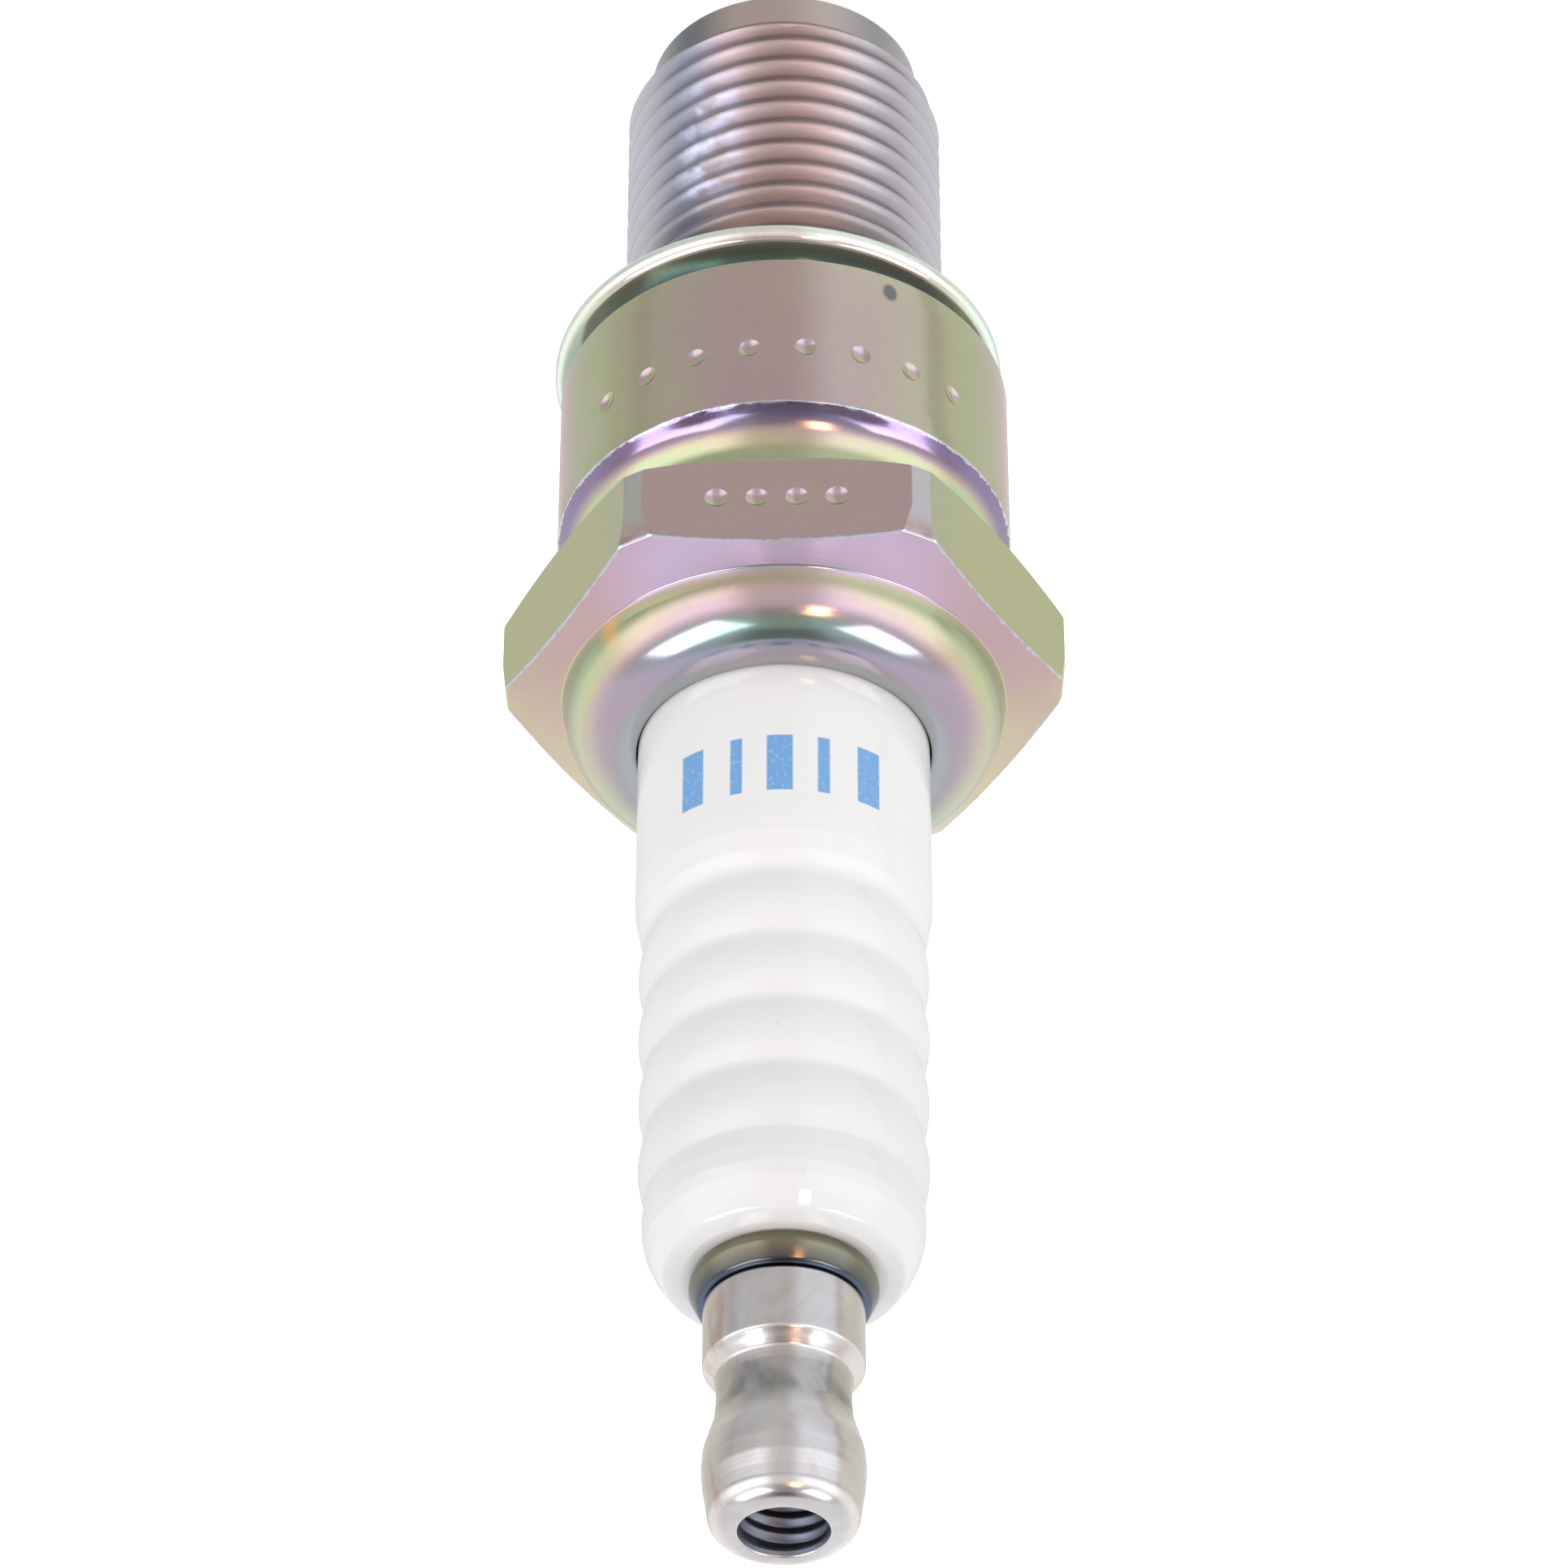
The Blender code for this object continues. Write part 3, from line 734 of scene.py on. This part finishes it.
def plated(name, zones, face_film, patch_film, tints, rough):
    """Nodes of zinc with a thin chromate film, whose thickness sets its interference colour.

    zones gives the film's thickness in nanometres along the axis, as (height,
    thickness); face_film is what the end faces have more, and patch_film how
    much it drifts from place to place.
    """
    nodes = Nodes(name)
    patches = nodes.noise(0.16, detail=2.0)
    streaks = nodes.noise(1.0, detail=3.0, stretch=(0.25, 0.25, 6.0))
    grain = nodes.noise(14.0, detail=5.0)
    height = nodes.axis("Z")
    thickness = zones[0][1]
    for (low, before), (high, after) in zip(zones, zones[1:]):
        step = nodes.ramp(height, low, high, 0.0, after - before, smooth=True)
        thickness = nodes.math("ADD", thickness, step)
    upright = nodes.math("ABSOLUTE", nodes.axis("Z", "Normal"))
    thickness = nodes.math("MULTIPLY_ADD", upright, face_film, thickness)
    thickness = nodes.math("ADD", thickness, nodes.spread(patches, 0.3, 0.7, -patch_film, patch_film))
    thickness = nodes.math("ADD", thickness, nodes.spread(streaks, 0.3, 0.7, -6.0, 6.0))
    mottle = nodes.noise(2.6, detail=4.0, roughness=0.7)
    thickness = nodes.math("ADD", thickness, nodes.spread(mottle, 0.35, 0.65, -5.0, 5.0))
    colour = nodes.mix(nodes.spread(patches, 0.35, 0.65), *tints)
    colour = nodes.mix(nodes.spread(mottle, 0.50, 0.70, 0.0, 0.16), colour, (0.16, 0.15, 0.11))
    colour = nodes.mix(nodes.spread(grain, 0.60, 0.78, 0.0, 0.30), colour, (0.12, 0.11, 0.08))
    roughness = nodes.math(
        "ADD", nodes.spread(grain, 0.3, 0.7, rough - 0.03, rough + 0.05),
        nodes.spread(streaks, 0.4, 0.7, 0.0, 0.04),
    )
    normal = nodes.bump(streaks, 0.008, 0.18)
    normal = nodes.bump(grain, 0.002, 0.12, before=normal)
    nodes.feed(nodes.shader.inputs["Thin Film Thickness"], thickness)
    nodes.feed(nodes.shader.inputs["Thin Film IOR"], FILM_IOR)
    return nodes, colour, roughness, normal


def thread_tint_and_reflection(nodes, height, side, aside, outward):
    """Thread colour with painted light: brown in the middle, painted shade making one side darker and bluish,
    painted highlights on that side, and a painted pale reflection at both edges.
    """
    # painted shade: the +X side darker and bluish; painted reflection: pale towards both edges
    flank_shade_and_reflection = nodes.mix(nodes.ramp(side, -1.0, 1.5), (0.33, 0.325, 0.34), (0.15, 0.175, 0.225))
    flank_shade_and_reflection = nodes.mix(nodes.ramp(aside, 4.2, 6.2, smooth=True), flank_shade_and_reflection, (0.50, 0.475, 0.53))
    tint = nodes.mix(outward, (0.43, 0.355, 0.30), flank_shade_and_reflection)
    # painted highlights: lighter bluish patches on the +X side
    painted_glint = nodes.product(
        nodes.ramp(side, 1.2, 2.0), nodes.ramp(side, 4.7, 3.6),
        nodes.ramp(height, -12.5, -10.5, smooth=True), nodes.ramp(height, -3.5, -6.0, smooth=True),
        nodes.spread(nodes.noise(0.9, detail=2.0), 0.42, 0.58, 0.0, 0.8),
    )
    return nodes.mix(painted_glint, tint, (0.47, 0.53, 0.66))


def edge_wear_and_painted_glints(nodes, height, side, front, radius):
    """Share of bare metal along the hexagon's edges and corners and the barrel's rim, made lighter as partly
    wear and partly painted highlight.
    """
    reach = nodes.math("ABSOLUTE", front)
    for sign in (1, -1):
        part = nodes.math(
            "MULTIPLY_ADD", side, sign * math.sin(math.pi / 3),
            nodes.math("MULTIPLY", front, math.cos(math.pi / 3)),
        )
        reach = nodes.largest(reach, nodes.math("ABSOLUTE", part))
    inset = nodes.math("SUBTRACT", HEX_FLAT * MM, reach)
    slope = (CHAMFER_INNER[1] - CHAMFER_OUTER[1]) / (CHAMFER_OUTER[0] - CHAMFER_INNER[0])
    chamfer = nodes.math(
        "MULTIPLY_ADD", radius, -slope, (CHAMFER_OUTER[1] + CHAMFER_OUTER[0] * slope) * MM,
    )
    below = nodes.math("SUBTRACT", chamfer, height)
    wander = nodes.spread(nodes.noise(2.6, detail=4.0), 0.35, 0.65, 0.01 * MM, 0.11 * MM)
    edge = nodes.product(
        nodes.math("LESS_THAN", inset, wander), nodes.math("LESS_THAN", below, wander),
        nodes.ramp(height, 17.0, 17.2),
    )
    from_rim = nodes.math("ABSOLUTE", nodes.math("SUBTRACT", height, BARREL_TOP * MM))
    rim = nodes.product(
        nodes.math("LESS_THAN", from_rim, nodes.math("MULTIPLY", wander, 0.75)),
        nodes.ramp(radius, BARREL - 0.14, BARREL - 0.10),
    )
    corner = nodes.product(
        nodes.ramp(radius, HEX_CORNER - 0.10, HEX_CORNER - 0.04, 0.0, 0.55),
        nodes.math("GREATER_THAN", inset, 0.02 * MM),
    )
    return nodes.largest(edge, rim, corner)


def shell_plating():
    """Chromated shell: plain rolled lip, hexagon edges lightened as wear and painted highlight, a stain on
    the barrel, nicked corners, painted reflection on the thread, side flats, top chamfer and crimp, chromate
    darkened as painted shade in the neck, and painted shade in the thread's roots.
    """
    nodes, colour, roughness, normal = plated(
        "chromated_shell", SHELL_FILM, 0.0, 9.0, ((0.275, 0.30, 0.185), (0.25, 0.28, 0.165)), 0.13,
    )
    height = nodes.axis("Z")
    side = nodes.axis("X")
    front = nodes.axis("Y")
    aside = nodes.math("ABSOLUTE", side)
    radius = nodes.radius()
    upward = nodes.axis("Z", "Normal")

    threaded = nodes.ramp(height, 0.0, -0.5)
    outward = nodes.ramp(aside, 1.6, 4.2, smooth=True)
    tint = thread_tint_and_reflection(nodes, height, side, aside, outward)
    colour = nodes.mix(nodes.product(threaded, 0.9), colour, tint)
    roughness = nodes.math("ADD", roughness, nodes.product(threaded, 0.22))

    # painted reflection: the olive sheen the side flats show at a grazing view
    side_flats_painted_sheen = nodes.product(
        nodes.ramp(height, 13.7, 13.9), nodes.ramp(height, 18.1, 17.9), nodes.ramp(aside, 6.6, 7.8, 0.0, 0.6),
    )
    colour = nodes.mix(side_flats_painted_sheen, colour, (0.31, 0.335, 0.09))
    # thick chromate in the neck's corner, darkened as painted shade
    violet_film_and_shade = nodes.product(nodes.ramp(height, 10.1, 10.14), nodes.ramp(height, 10.8, 10.4))
    colour = nodes.mix(nodes.product(violet_film_and_shade, 0.90), colour, (0.195, 0.15, 0.30))
    # painted reflection on the hexagon's top chamfer: lilac in front, brown towards the sides
    chamfer_painted_reflection = nodes.product(
        nodes.ramp(height, 17.7, 17.9), nodes.ramp(height, 19.0, 18.7, 0.0, 0.75),
        nodes.spread(upward, 0.7, 0.9),
    )
    chamfer_reflection_tint = nodes.mix(
        nodes.ramp(aside, 4.5, 8.5, smooth=True), (0.50, 0.43, 0.52), (0.36, 0.28, 0.17),
    )
    colour = nodes.mix(chamfer_painted_reflection, colour, chamfer_reflection_tint)
    # painted reflection: a blue-green band on the crimp's upward faces
    painted_teal_reflection = nodes.product(nodes.ramp(height, 20.3, 20.7), nodes.spread(upward, 0.7, 0.95), 0.6)
    colour = nodes.mix(painted_teal_reflection, colour, (0.12, 0.22, 0.23))
    lip = nodes.product(nodes.ramp(radius, 7.35, 6.55, smooth=True), nodes.ramp(height, 19.6, 20.2))
    colour = nodes.mix(lip, colour, (0.42, 0.43, 0.44))

    # painted shade: the thread's roots darkened
    root_painted_shade = nodes.product(
        threaded, nodes.ramp(radius, 6.52, 6.38, smooth=True), nodes.ramp(radius, 6.00, 6.18), 0.75,
    )
    stain = nodes.ramp(
        nodes.distance((-4.70, -8.39, 3.1), (1.0, 1.0, 0.75)), 0.42, 0.24, 0.0, 0.85, smooth=True,
    )
    nicks = nodes.product(
        nodes.ramp(radius, 11.50, 11.72), nodes.spread(nodes.noise(1.1, detail=3.0), 0.52, 0.66),
        nodes.ramp(height, 17.2, 17.8, 0.0, 0.7),
    )
    # real stains and nicks, plus the painted shade of the thread's roots
    stains_nicks_and_root_shade = nodes.largest(stain, nicks, root_painted_shade)
    colour = nodes.mix(stains_nicks_and_root_shade, colour, (0.13, 0.13, 0.14))
    orange = nodes.ramp(nodes.distance((6.85, -5.80, 19.25)), 0.85, 0.20, 0.0, 0.8, smooth=True)
    colour = nodes.mix(orange, colour, (0.80, 0.33, 0.07))
    # lighter bare metal at the edges: partly wear, partly painted highlight
    wear_and_painted_glints = edge_wear_and_painted_glints(nodes, height, side, front, radius)
    colour = nodes.mix(wear_and_painted_glints, colour, (0.56, 0.585, 0.63))

    bare_thread = nodes.product(threaded, nodes.math("MULTIPLY_ADD", outward, 0.36, 0.5))
    bare = nodes.largest(lip, stains_nicks_and_root_shade, wear_and_painted_glints, bare_thread, nodes.product(violet_film_and_shade, 0.65))
    metal = nodes.spread(bare, 0.0, 1.0, PLATED_METAL, 1.0)
    return nodes.finish(colour, roughness, normal, Metallic=metal, IOR=PLATING_IOR)


def gasket_plating():
    """Bright folded rim, with painted shade on the upper fold above it, under the shell's seat."""
    nodes, colour, roughness, normal = plated(
        "plated_gasket", ((0.0, 410.0), (0.95, 410.0), (1.1, 350.0)), 0.0, 8.0,
        ((0.79, 0.78, 0.74), (0.73, 0.72, 0.68)), 0.08,
    )
    # painted shade on the upper fold, which sits under the shell's seat
    ledge_painted_shade = nodes.product(
        nodes.spread(nodes.axis("Z", "Normal"), 0.80, 0.96), nodes.ramp(nodes.axis("Z"), 0.8, 1.0), 0.85,
    )
    colour = nodes.mix(ledge_painted_shade, colour, (0.15, 0.19, 0.15))
    return nodes.finish(colour, roughness, normal, Metallic=PLATED_METAL, IOR=PLATING_IOR)


def stud_plating():
    """Dark stud: olive round its rim, bluish on the face of the flange."""
    nodes, colour, roughness, normal = plated(
        "dark_stud", ((47.5, 420.0), (48.6, 400.0)), -40.0, 14.0,
        ((0.20, 0.17, 0.11), (0.165, 0.155, 0.105)), 0.14,
    )
    face = nodes.spread(nodes.axis("Z", "Normal"), 0.80, 0.95)
    colour = nodes.mix(nodes.ramp(nodes.axis("Z"), 47.75, 48.4), colour, (0.075, 0.065, 0.075))
    colour = nodes.mix(face, colour, (0.10, 0.11, 0.17))
    return nodes.finish(colour, roughness, normal, Metallic=0.93, IOR=PLATING_IOR)


def glazed_alumina():
    """White glazed body with plain blue bars printed on the collar."""
    nodes = Nodes("glazed_alumina")
    height = nodes.axis("Z")
    cloud = nodes.noise(0.25, detail=3.0)
    fine = nodes.noise(6.0, detail=4.0)
    specks = nodes.noise(3.2, detail=1.0)
    glaze = nodes.mix(nodes.ramp(height, 29.0, 47.0), (0.728, 0.732, 0.722), (0.655, 0.66, 0.655))
    colour = nodes.mix(nodes.spread(cloud, 0.3, 0.7, 0.0, 0.08), glaze, (0.80, 0.80, 0.78))
    colour = nodes.mix(nodes.spread(specks, 0.74, 0.80, 0.0, 0.35), colour, (0.55, 0.53, 0.48))

    angle = nodes.math("ARCTAN2", nodes.axis("X"), nodes.product(nodes.axis("Y"), -1.0))
    bars = []
    for degrees, half_width in PRINTED_BARS:
        away = nodes.math("ABSOLUTE", nodes.math("SUBTRACT", angle, math.radians(degrees)))
        bars.append(nodes.spread(away, math.radians(half_width + 0.3), math.radians(half_width - 0.3)))
    ink = nodes.product(
        nodes.largest(*bars), nodes.ramp(height, PRINT_LOW - PRINT_BLUR, PRINT_LOW + PRINT_BLUR),
        nodes.ramp(height, PRINT_HIGH + PRINT_BLUR, PRINT_HIGH - PRINT_BLUR),
        nodes.spread(fine, 0.30, 0.45, 0.75, 1.0),
    )
    colour = nodes.mix(ink, colour, (0.14, 0.34, 0.63))
    roughness = nodes.spread(fine, 0.3, 0.7, 0.05, 0.09)
    ripple = nodes.noise(0.8, detail=2.0, stretch=(0.3, 0.3, 1.6))
    normal = nodes.bump(ripple, 0.012, 0.25)
    normal = nodes.bump(fine, 0.002, 0.15, before=normal)
    material = nodes.finish(colour, roughness, normal, IOR=1.60)
    nodes.shader.inputs["Subsurface Weight"].default_value = 0.12
    nodes.shader.inputs["Subsurface Radius"].default_value = (0.9 * MM, 0.9 * MM, 0.8 * MM)
    nodes.shader.inputs["Subsurface Scale"].default_value = 1.0
    return material


def bright_nickel():
    """Turned nut with soft lathe lines, darker in the waist, brown patches on one side and painted shade
    inside the mouth.
    """
    nodes = Nodes("bright_nickel")
    lathe = nodes.noise(1.0, detail=4.0, stretch=(0.15, 0.15, 9.0))
    stain = nodes.noise(0.35, detail=3.0, distortion=0.6)
    grain = nodes.noise(12.0, detail=4.0)
    rust = nodes.noise(0.55, detail=3.0, stretch=(1.0, 1.0, 0.35))
    height = nodes.axis("Z")
    colour = nodes.mix(nodes.spread(stain, 0.40, 0.72), (0.66, 0.64, 0.62), (0.56, 0.49, 0.455))
    waist = nodes.product(
        nodes.ramp(height, 51.8, 52.6, smooth=True), nodes.ramp(height, 55.0, 53.6, smooth=True),
        nodes.spread(stain, 0.38, 0.58, 0.85, 0.25),
    )
    colour = nodes.mix(waist, colour, (0.13, 0.14, 0.13))
    # painted shade inside the bore of the mouth, dark and bluish
    mouth = nodes.product(nodes.ramp(nodes.radius(), 2.12, 2.00), nodes.ramp(height, 58.68, 58.62))
    colour = nodes.mix(mouth, colour, (0.165, 0.18, 0.225))
    colour = nodes.mix(nodes.spread(grain, 0.62, 0.80, 0.0, 0.25), colour, (0.35, 0.33, 0.31))
    brown = nodes.product(
        nodes.spread(rust, 0.56, 0.70, 0.0, 0.45, smooth=True),
        nodes.ramp(nodes.axis("X"), 0.8, 2.4, smooth=True),
    )
    colour = nodes.mix(brown, colour, (0.36, 0.22, 0.16))
    roughness = nodes.spread(lathe, 0.3, 0.7, 0.15, 0.26)
    roughness = nodes.math("MULTIPLY_ADD", mouth, 0.24, roughness)
    normal = nodes.bump(lathe, 0.010, 0.28)
    normal = nodes.bump(grain, 0.002, 0.4, before=normal)
    return nodes.finish(colour, roughness, normal, Metallic=1.0)


def nickel_alloy():
    """Drawn electrode metal with fine draw lines."""
    nodes = Nodes("nickel_alloy")
    lines = nodes.noise(2.0, detail=4.0, stretch=(5.0, 0.4, 0.4))
    grain = nodes.noise(12.0, detail=4.0)
    colour = nodes.mix(nodes.spread(grain, 0.35, 0.7), (0.50, 0.475, 0.44), (0.40, 0.38, 0.36))
    roughness = nodes.spread(lines, 0.3, 0.7, 0.28, 0.42)
    normal = nodes.bump(lines, 0.008, 0.5)
    normal = nodes.bump(grain, 0.004, 0.5, before=normal)
    return nodes.finish(colour, roughness, normal, Metallic=1.0)


def plain_inner(name, dark, light, metal, rough, per_mm, depth_mm):
    """Granular material of a hidden inner piece."""
    nodes = Nodes(name)
    grain = nodes.noise(per_mm, detail=5.0)
    colour = nodes.mix(nodes.spread(grain, 0.3, 0.7), dark, light)
    roughness = nodes.spread(grain, 0.3, 0.7, rough - 0.08, rough + 0.08)
    return nodes.finish(colour, roughness, nodes.bump(grain, depth_mm, 0.6), Metallic=metal)


def dress(piece, material):
    piece.data.materials.clear()
    piece.data.materials.append(material)


def dress_cad(node, material):
    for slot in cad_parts[node].material_slots:
        slot.material = material


# Stage


def make_floor():
    """Pale paper under the plug; the metal's mirror view of it comes from the surroundings."""
    data = bmesh.new()
    half = 1.5
    bmesh.ops.create_grid(data, x_segments=24, y_segments=24, size=half)
    floor = to_object("studio_floor", data)
    floor.location.z = cad_box[0][2]
    floor.visible_glossy = False
    floor.visible_diffuse = False
    nodes = Nodes("floor_paper")
    fibre = nodes.noise(0.4, detail=3.0)
    colour = nodes.mix(nodes.spread(fibre, 0.3, 0.7), (0.93, 0.93, 0.93), (0.95, 0.95, 0.95))
    roughness = nodes.spread(fibre, 0.3, 0.7, 0.85, 0.95)
    dress(floor, nodes.finish(colour, roughness, nodes.bump(fibre, 0.02, 0.2)))
    nodes.shader.inputs["Emission Color"].default_value = (1.0, 1.0, 1.0, 1.0)
    nodes.shader.inputs["Emission Strength"].default_value = 0.45


def make_world():
    """Surroundings as the polished metal sees them.

    Bright at the horizon, a dark strip from above the camera to overhead, and
    below the horizon a level that changes with the compass direction.
    """
    world = bpy.data.worlds.new("studio")
    world.use_nodes = True
    bpy.context.scene.world = world
    tree = world.node_tree
    place = tree.nodes.new("ShaderNodeTexCoord")
    split = tree.nodes.new("ShaderNodeSeparateXYZ")
    tree.links.new(place.outputs["Generated"], split.inputs[0])

    def feed(socket, value):
        if isinstance(value, bpy.types.NodeSocket):
            tree.links.new(value, socket)
        else:
            socket.default_value = value

    def spread(value, low, high, to_low, to_high):
        node = tree.nodes.new("ShaderNodeMapRange")
        node.interpolation_type = "SMOOTHSTEP"
        tree.links.new(value, node.inputs["Value"])
        limits = {"From Min": low, "From Max": high, "To Min": to_low, "To Max": to_high}
        for name, number in limits.items():
            node.inputs[name].default_value = number
        return node.outputs["Result"]

    def sector(value, low, high, to_low, to_high):
        """Spread of an angle, between limits in degrees."""
        return spread(value, math.radians(low), math.radians(high), to_low, to_high)

    def combine(operation, *values):
        node = tree.nodes.new("ShaderNodeMath")
        node.operation = operation
        for socket, value in zip(node.inputs, values):
            feed(socket, value)
        return node.outputs[0]

    def product(*values):
        result = values[0]
        for value in values[1:]:
            result = combine("MULTIPLY", result, value)
        return result

    def blend(share, first, second):
        node = tree.nodes.new("ShaderNodeMix")
        node.data_type = "RGBA"
        feed(node.inputs["Factor"], share)
        feed(node.inputs[6], first)
        feed(node.inputs[7], second)
        return node.outputs[2]

    across, along, up = split.outputs
    aside = combine("ABSOLUTE", across)
    bearing = combine("ARCTAN2", across, product(along, -1.0))
    turned = combine("ABSOLUTE", bearing)

    strip = product(
        spread(aside, 0.12, 0.26, 0.42, 0.0), spread(along, -0.30, -0.10, 1.0, 0.0),
        spread(up, 0.40, 0.66, 0.0, 1.0),
    )
    spot = product(
        spread(aside, 0.12, 0.28, 0.84, 0.0), spread(along, -0.38, -0.20, 0.0, 1.0),
        spread(along, 0.04, 0.22, 1.0, 0.0), spread(up, 0.5, 0.8, 0.0, 1.0),
    )
    horizon = combine("ADD", sector(turned, 10, 32, 0.90, 1.90), sector(turned, 72, 95, 0.0, -0.65))
    height = spread(up, 0.20, 0.66, 0.0, 1.0)
    sky = combine(
        "ADD", product(horizon, combine("SUBTRACT", 1.0, height)),
        product(height, spread(along, 0.05, 0.34, 0.66, 1.00)),
    )
    sky = product(sky, combine("SUBTRACT", 1.0, strip), combine("SUBTRACT", 1.0, spot))
    ground = GROUND_LEVEL
    for low, high, change in GROUND_STEPS:
        ground = combine("ADD", sector(bearing, low, high, 0.0, change), ground)
    share = spread(up, -0.45, -0.05, 0.0, 1.0)
    level = combine("ADD", product(ground, combine("SUBTRACT", 1.0, share)), product(sky, share))

    cool = product(sector(bearing, -86, -78, 0.0, 1.0), sector(bearing, -20, -9, 1.0, 0.0))
    for cooler in (
        product(sector(bearing, 22, 38, 0.0, 0.5), sector(bearing, 66, 84, 1.0, 0.0)),
        product(spread(up, 0.1, 0.4, 0.0, 0.7), spread(along, 0.0, 0.3, 0.0, 1.0)),
    ):
        cool = combine("ADD", cool, cooler)
    warm = product(sector(turned, 75, 120, 0.0, 1.0), spread(up, -0.2, 0.0, 1.0, 0.0))
    tint = blend(cool, (1.0, 0.985, 0.985, 1.0), (0.94, 0.99, 1.08, 1.0))
    straw = blend(warm, tint, (1.0, 1.0, 0.93, 1.0))
    background = tree.nodes["Background"]
    tree.links.new(straw, background.inputs[0])
    tree.links.new(level, background.inputs[1])


def aim(item, target):
    direction = Vector(target) - item.location
    item.rotation_euler = direction.to_track_quat("-Z", "Y").to_euler()


def area_light(name, azimuth, elevation, distance, size, size_y, power, colour):
    """Rectangular lamp aimed at the middle of the plug; azimuth 0 is the camera's side, +X positive."""
    light = bpy.data.lights.new(name, "AREA")
    light.shape = "RECTANGLE"
    light.size = size
    light.size_y = size_y
    light.energy = power
    light.color = colour
    item = bpy.data.objects.new(name, light)
    bpy.context.scene.collection.objects.link(item)
    flat = distance * math.cos(math.radians(elevation))
    item.location = (
        flat * math.sin(math.radians(azimuth)), -flat * math.cos(math.radians(azimuth)),
        distance * math.sin(math.radians(elevation)) + 0.02,
    )
    aim(item, (0.0, 0.0, 0.02))


def make_lights():
    area_light("left_softbox", 60, 53, 0.60, 0.40, 0.27, 1.10, (0.93, 0.95, 1.0))
    area_light("right_softbox", -68, 51, 0.60, 0.30, 0.24, 0.75, (0.98, 0.99, 1.0))
    area_light("warm_lamp", -20, 34, 0.60, 0.085, 0.17, 0.55, (1.0, 0.48, 0.20))


def make_camera():
    """Camera above the terminal, rolled so that the terminal is at the bottom of the frame."""
    elevation = math.radians(38.06)
    azimuth = math.radians(-1.6)
    distance = 0.2687
    target = Vector((0.0, 0.0, (SHELL_HIGH.z + 1.3) * MM))
    camera_data = bpy.data.cameras.new("camera")
    camera_data.lens = 149.5
    camera_data.sensor_width = 36.0
    camera_data.clip_start = 0.01
    camera = bpy.data.objects.new("camera", camera_data)
    bpy.context.scene.collection.objects.link(camera)
    ahead = Vector((-math.sin(azimuth), math.cos(azimuth), 0.0))
    forward = ahead * math.cos(elevation) - Vector((0.0, 0.0, math.sin(elevation)))
    up = -ahead * math.sin(elevation) - Vector((0.0, 0.0, math.cos(elevation)))
    right = forward.cross(up)
    camera.matrix_world = Matrix.Translation(target - forward * distance) @ Matrix(
        (right, up, -forward)
    ).transposed().to_4x4()
    bpy.context.scene.camera = camera
    bpy.context.scene.view_settings.view_transform = "Standard"


def main():
    make_camera()
    alloy = nickel_alloy()
    dress(make_shell(), shell_plating())
    dress(make_gasket(), gasket_plating())
    dress(make_insulator(), glazed_alumina())
    dress(make_stud(), stud_plating())
    dress(make_nut(), bright_nickel())
    dress(make_strap(), alloy)
    dress(make_centre_electrode(), alloy)
    copper = plain_inner("copper", (0.62, 0.28, 0.17), (0.80, 0.42, 0.28), 1.0, 0.32, 8.0, 0.004)
    glass = plain_inner("glass_seal", (0.03, 0.03, 0.03), (0.10, 0.09, 0.08), 0.0, 0.45, 5.0, 0.010)
    resistor = plain_inner("resistor", (0.015, 0.015, 0.015), (0.05, 0.05, 0.05), 0.0, 0.70, 7.0, 0.015)
    talc = plain_inner("talc", (0.66, 0.64, 0.59), (0.80, 0.79, 0.75), 0.0, 0.90, 6.0, 0.015)
    wire = plain_inner("packing_wire", (0.34, 0.34, 0.34), (0.48, 0.48, 0.47), 1.0, 0.38, 9.0, 0.004)
    for node, material in (
        ("centre_electrode_core", copper), ("lower_packing_washer", copper), ("lower_glass_seal", glass),
        ("upper_glass_seal", glass), ("resistor_element", resistor), ("talc_packing", talc),
        ("lower_packing_ring", wire), ("upper_packing_ring", wire),
    ):
        dress_cad(node, material)
    make_floor()
    make_world()
    make_lights()


main()

bpy.context.view_layer.update()
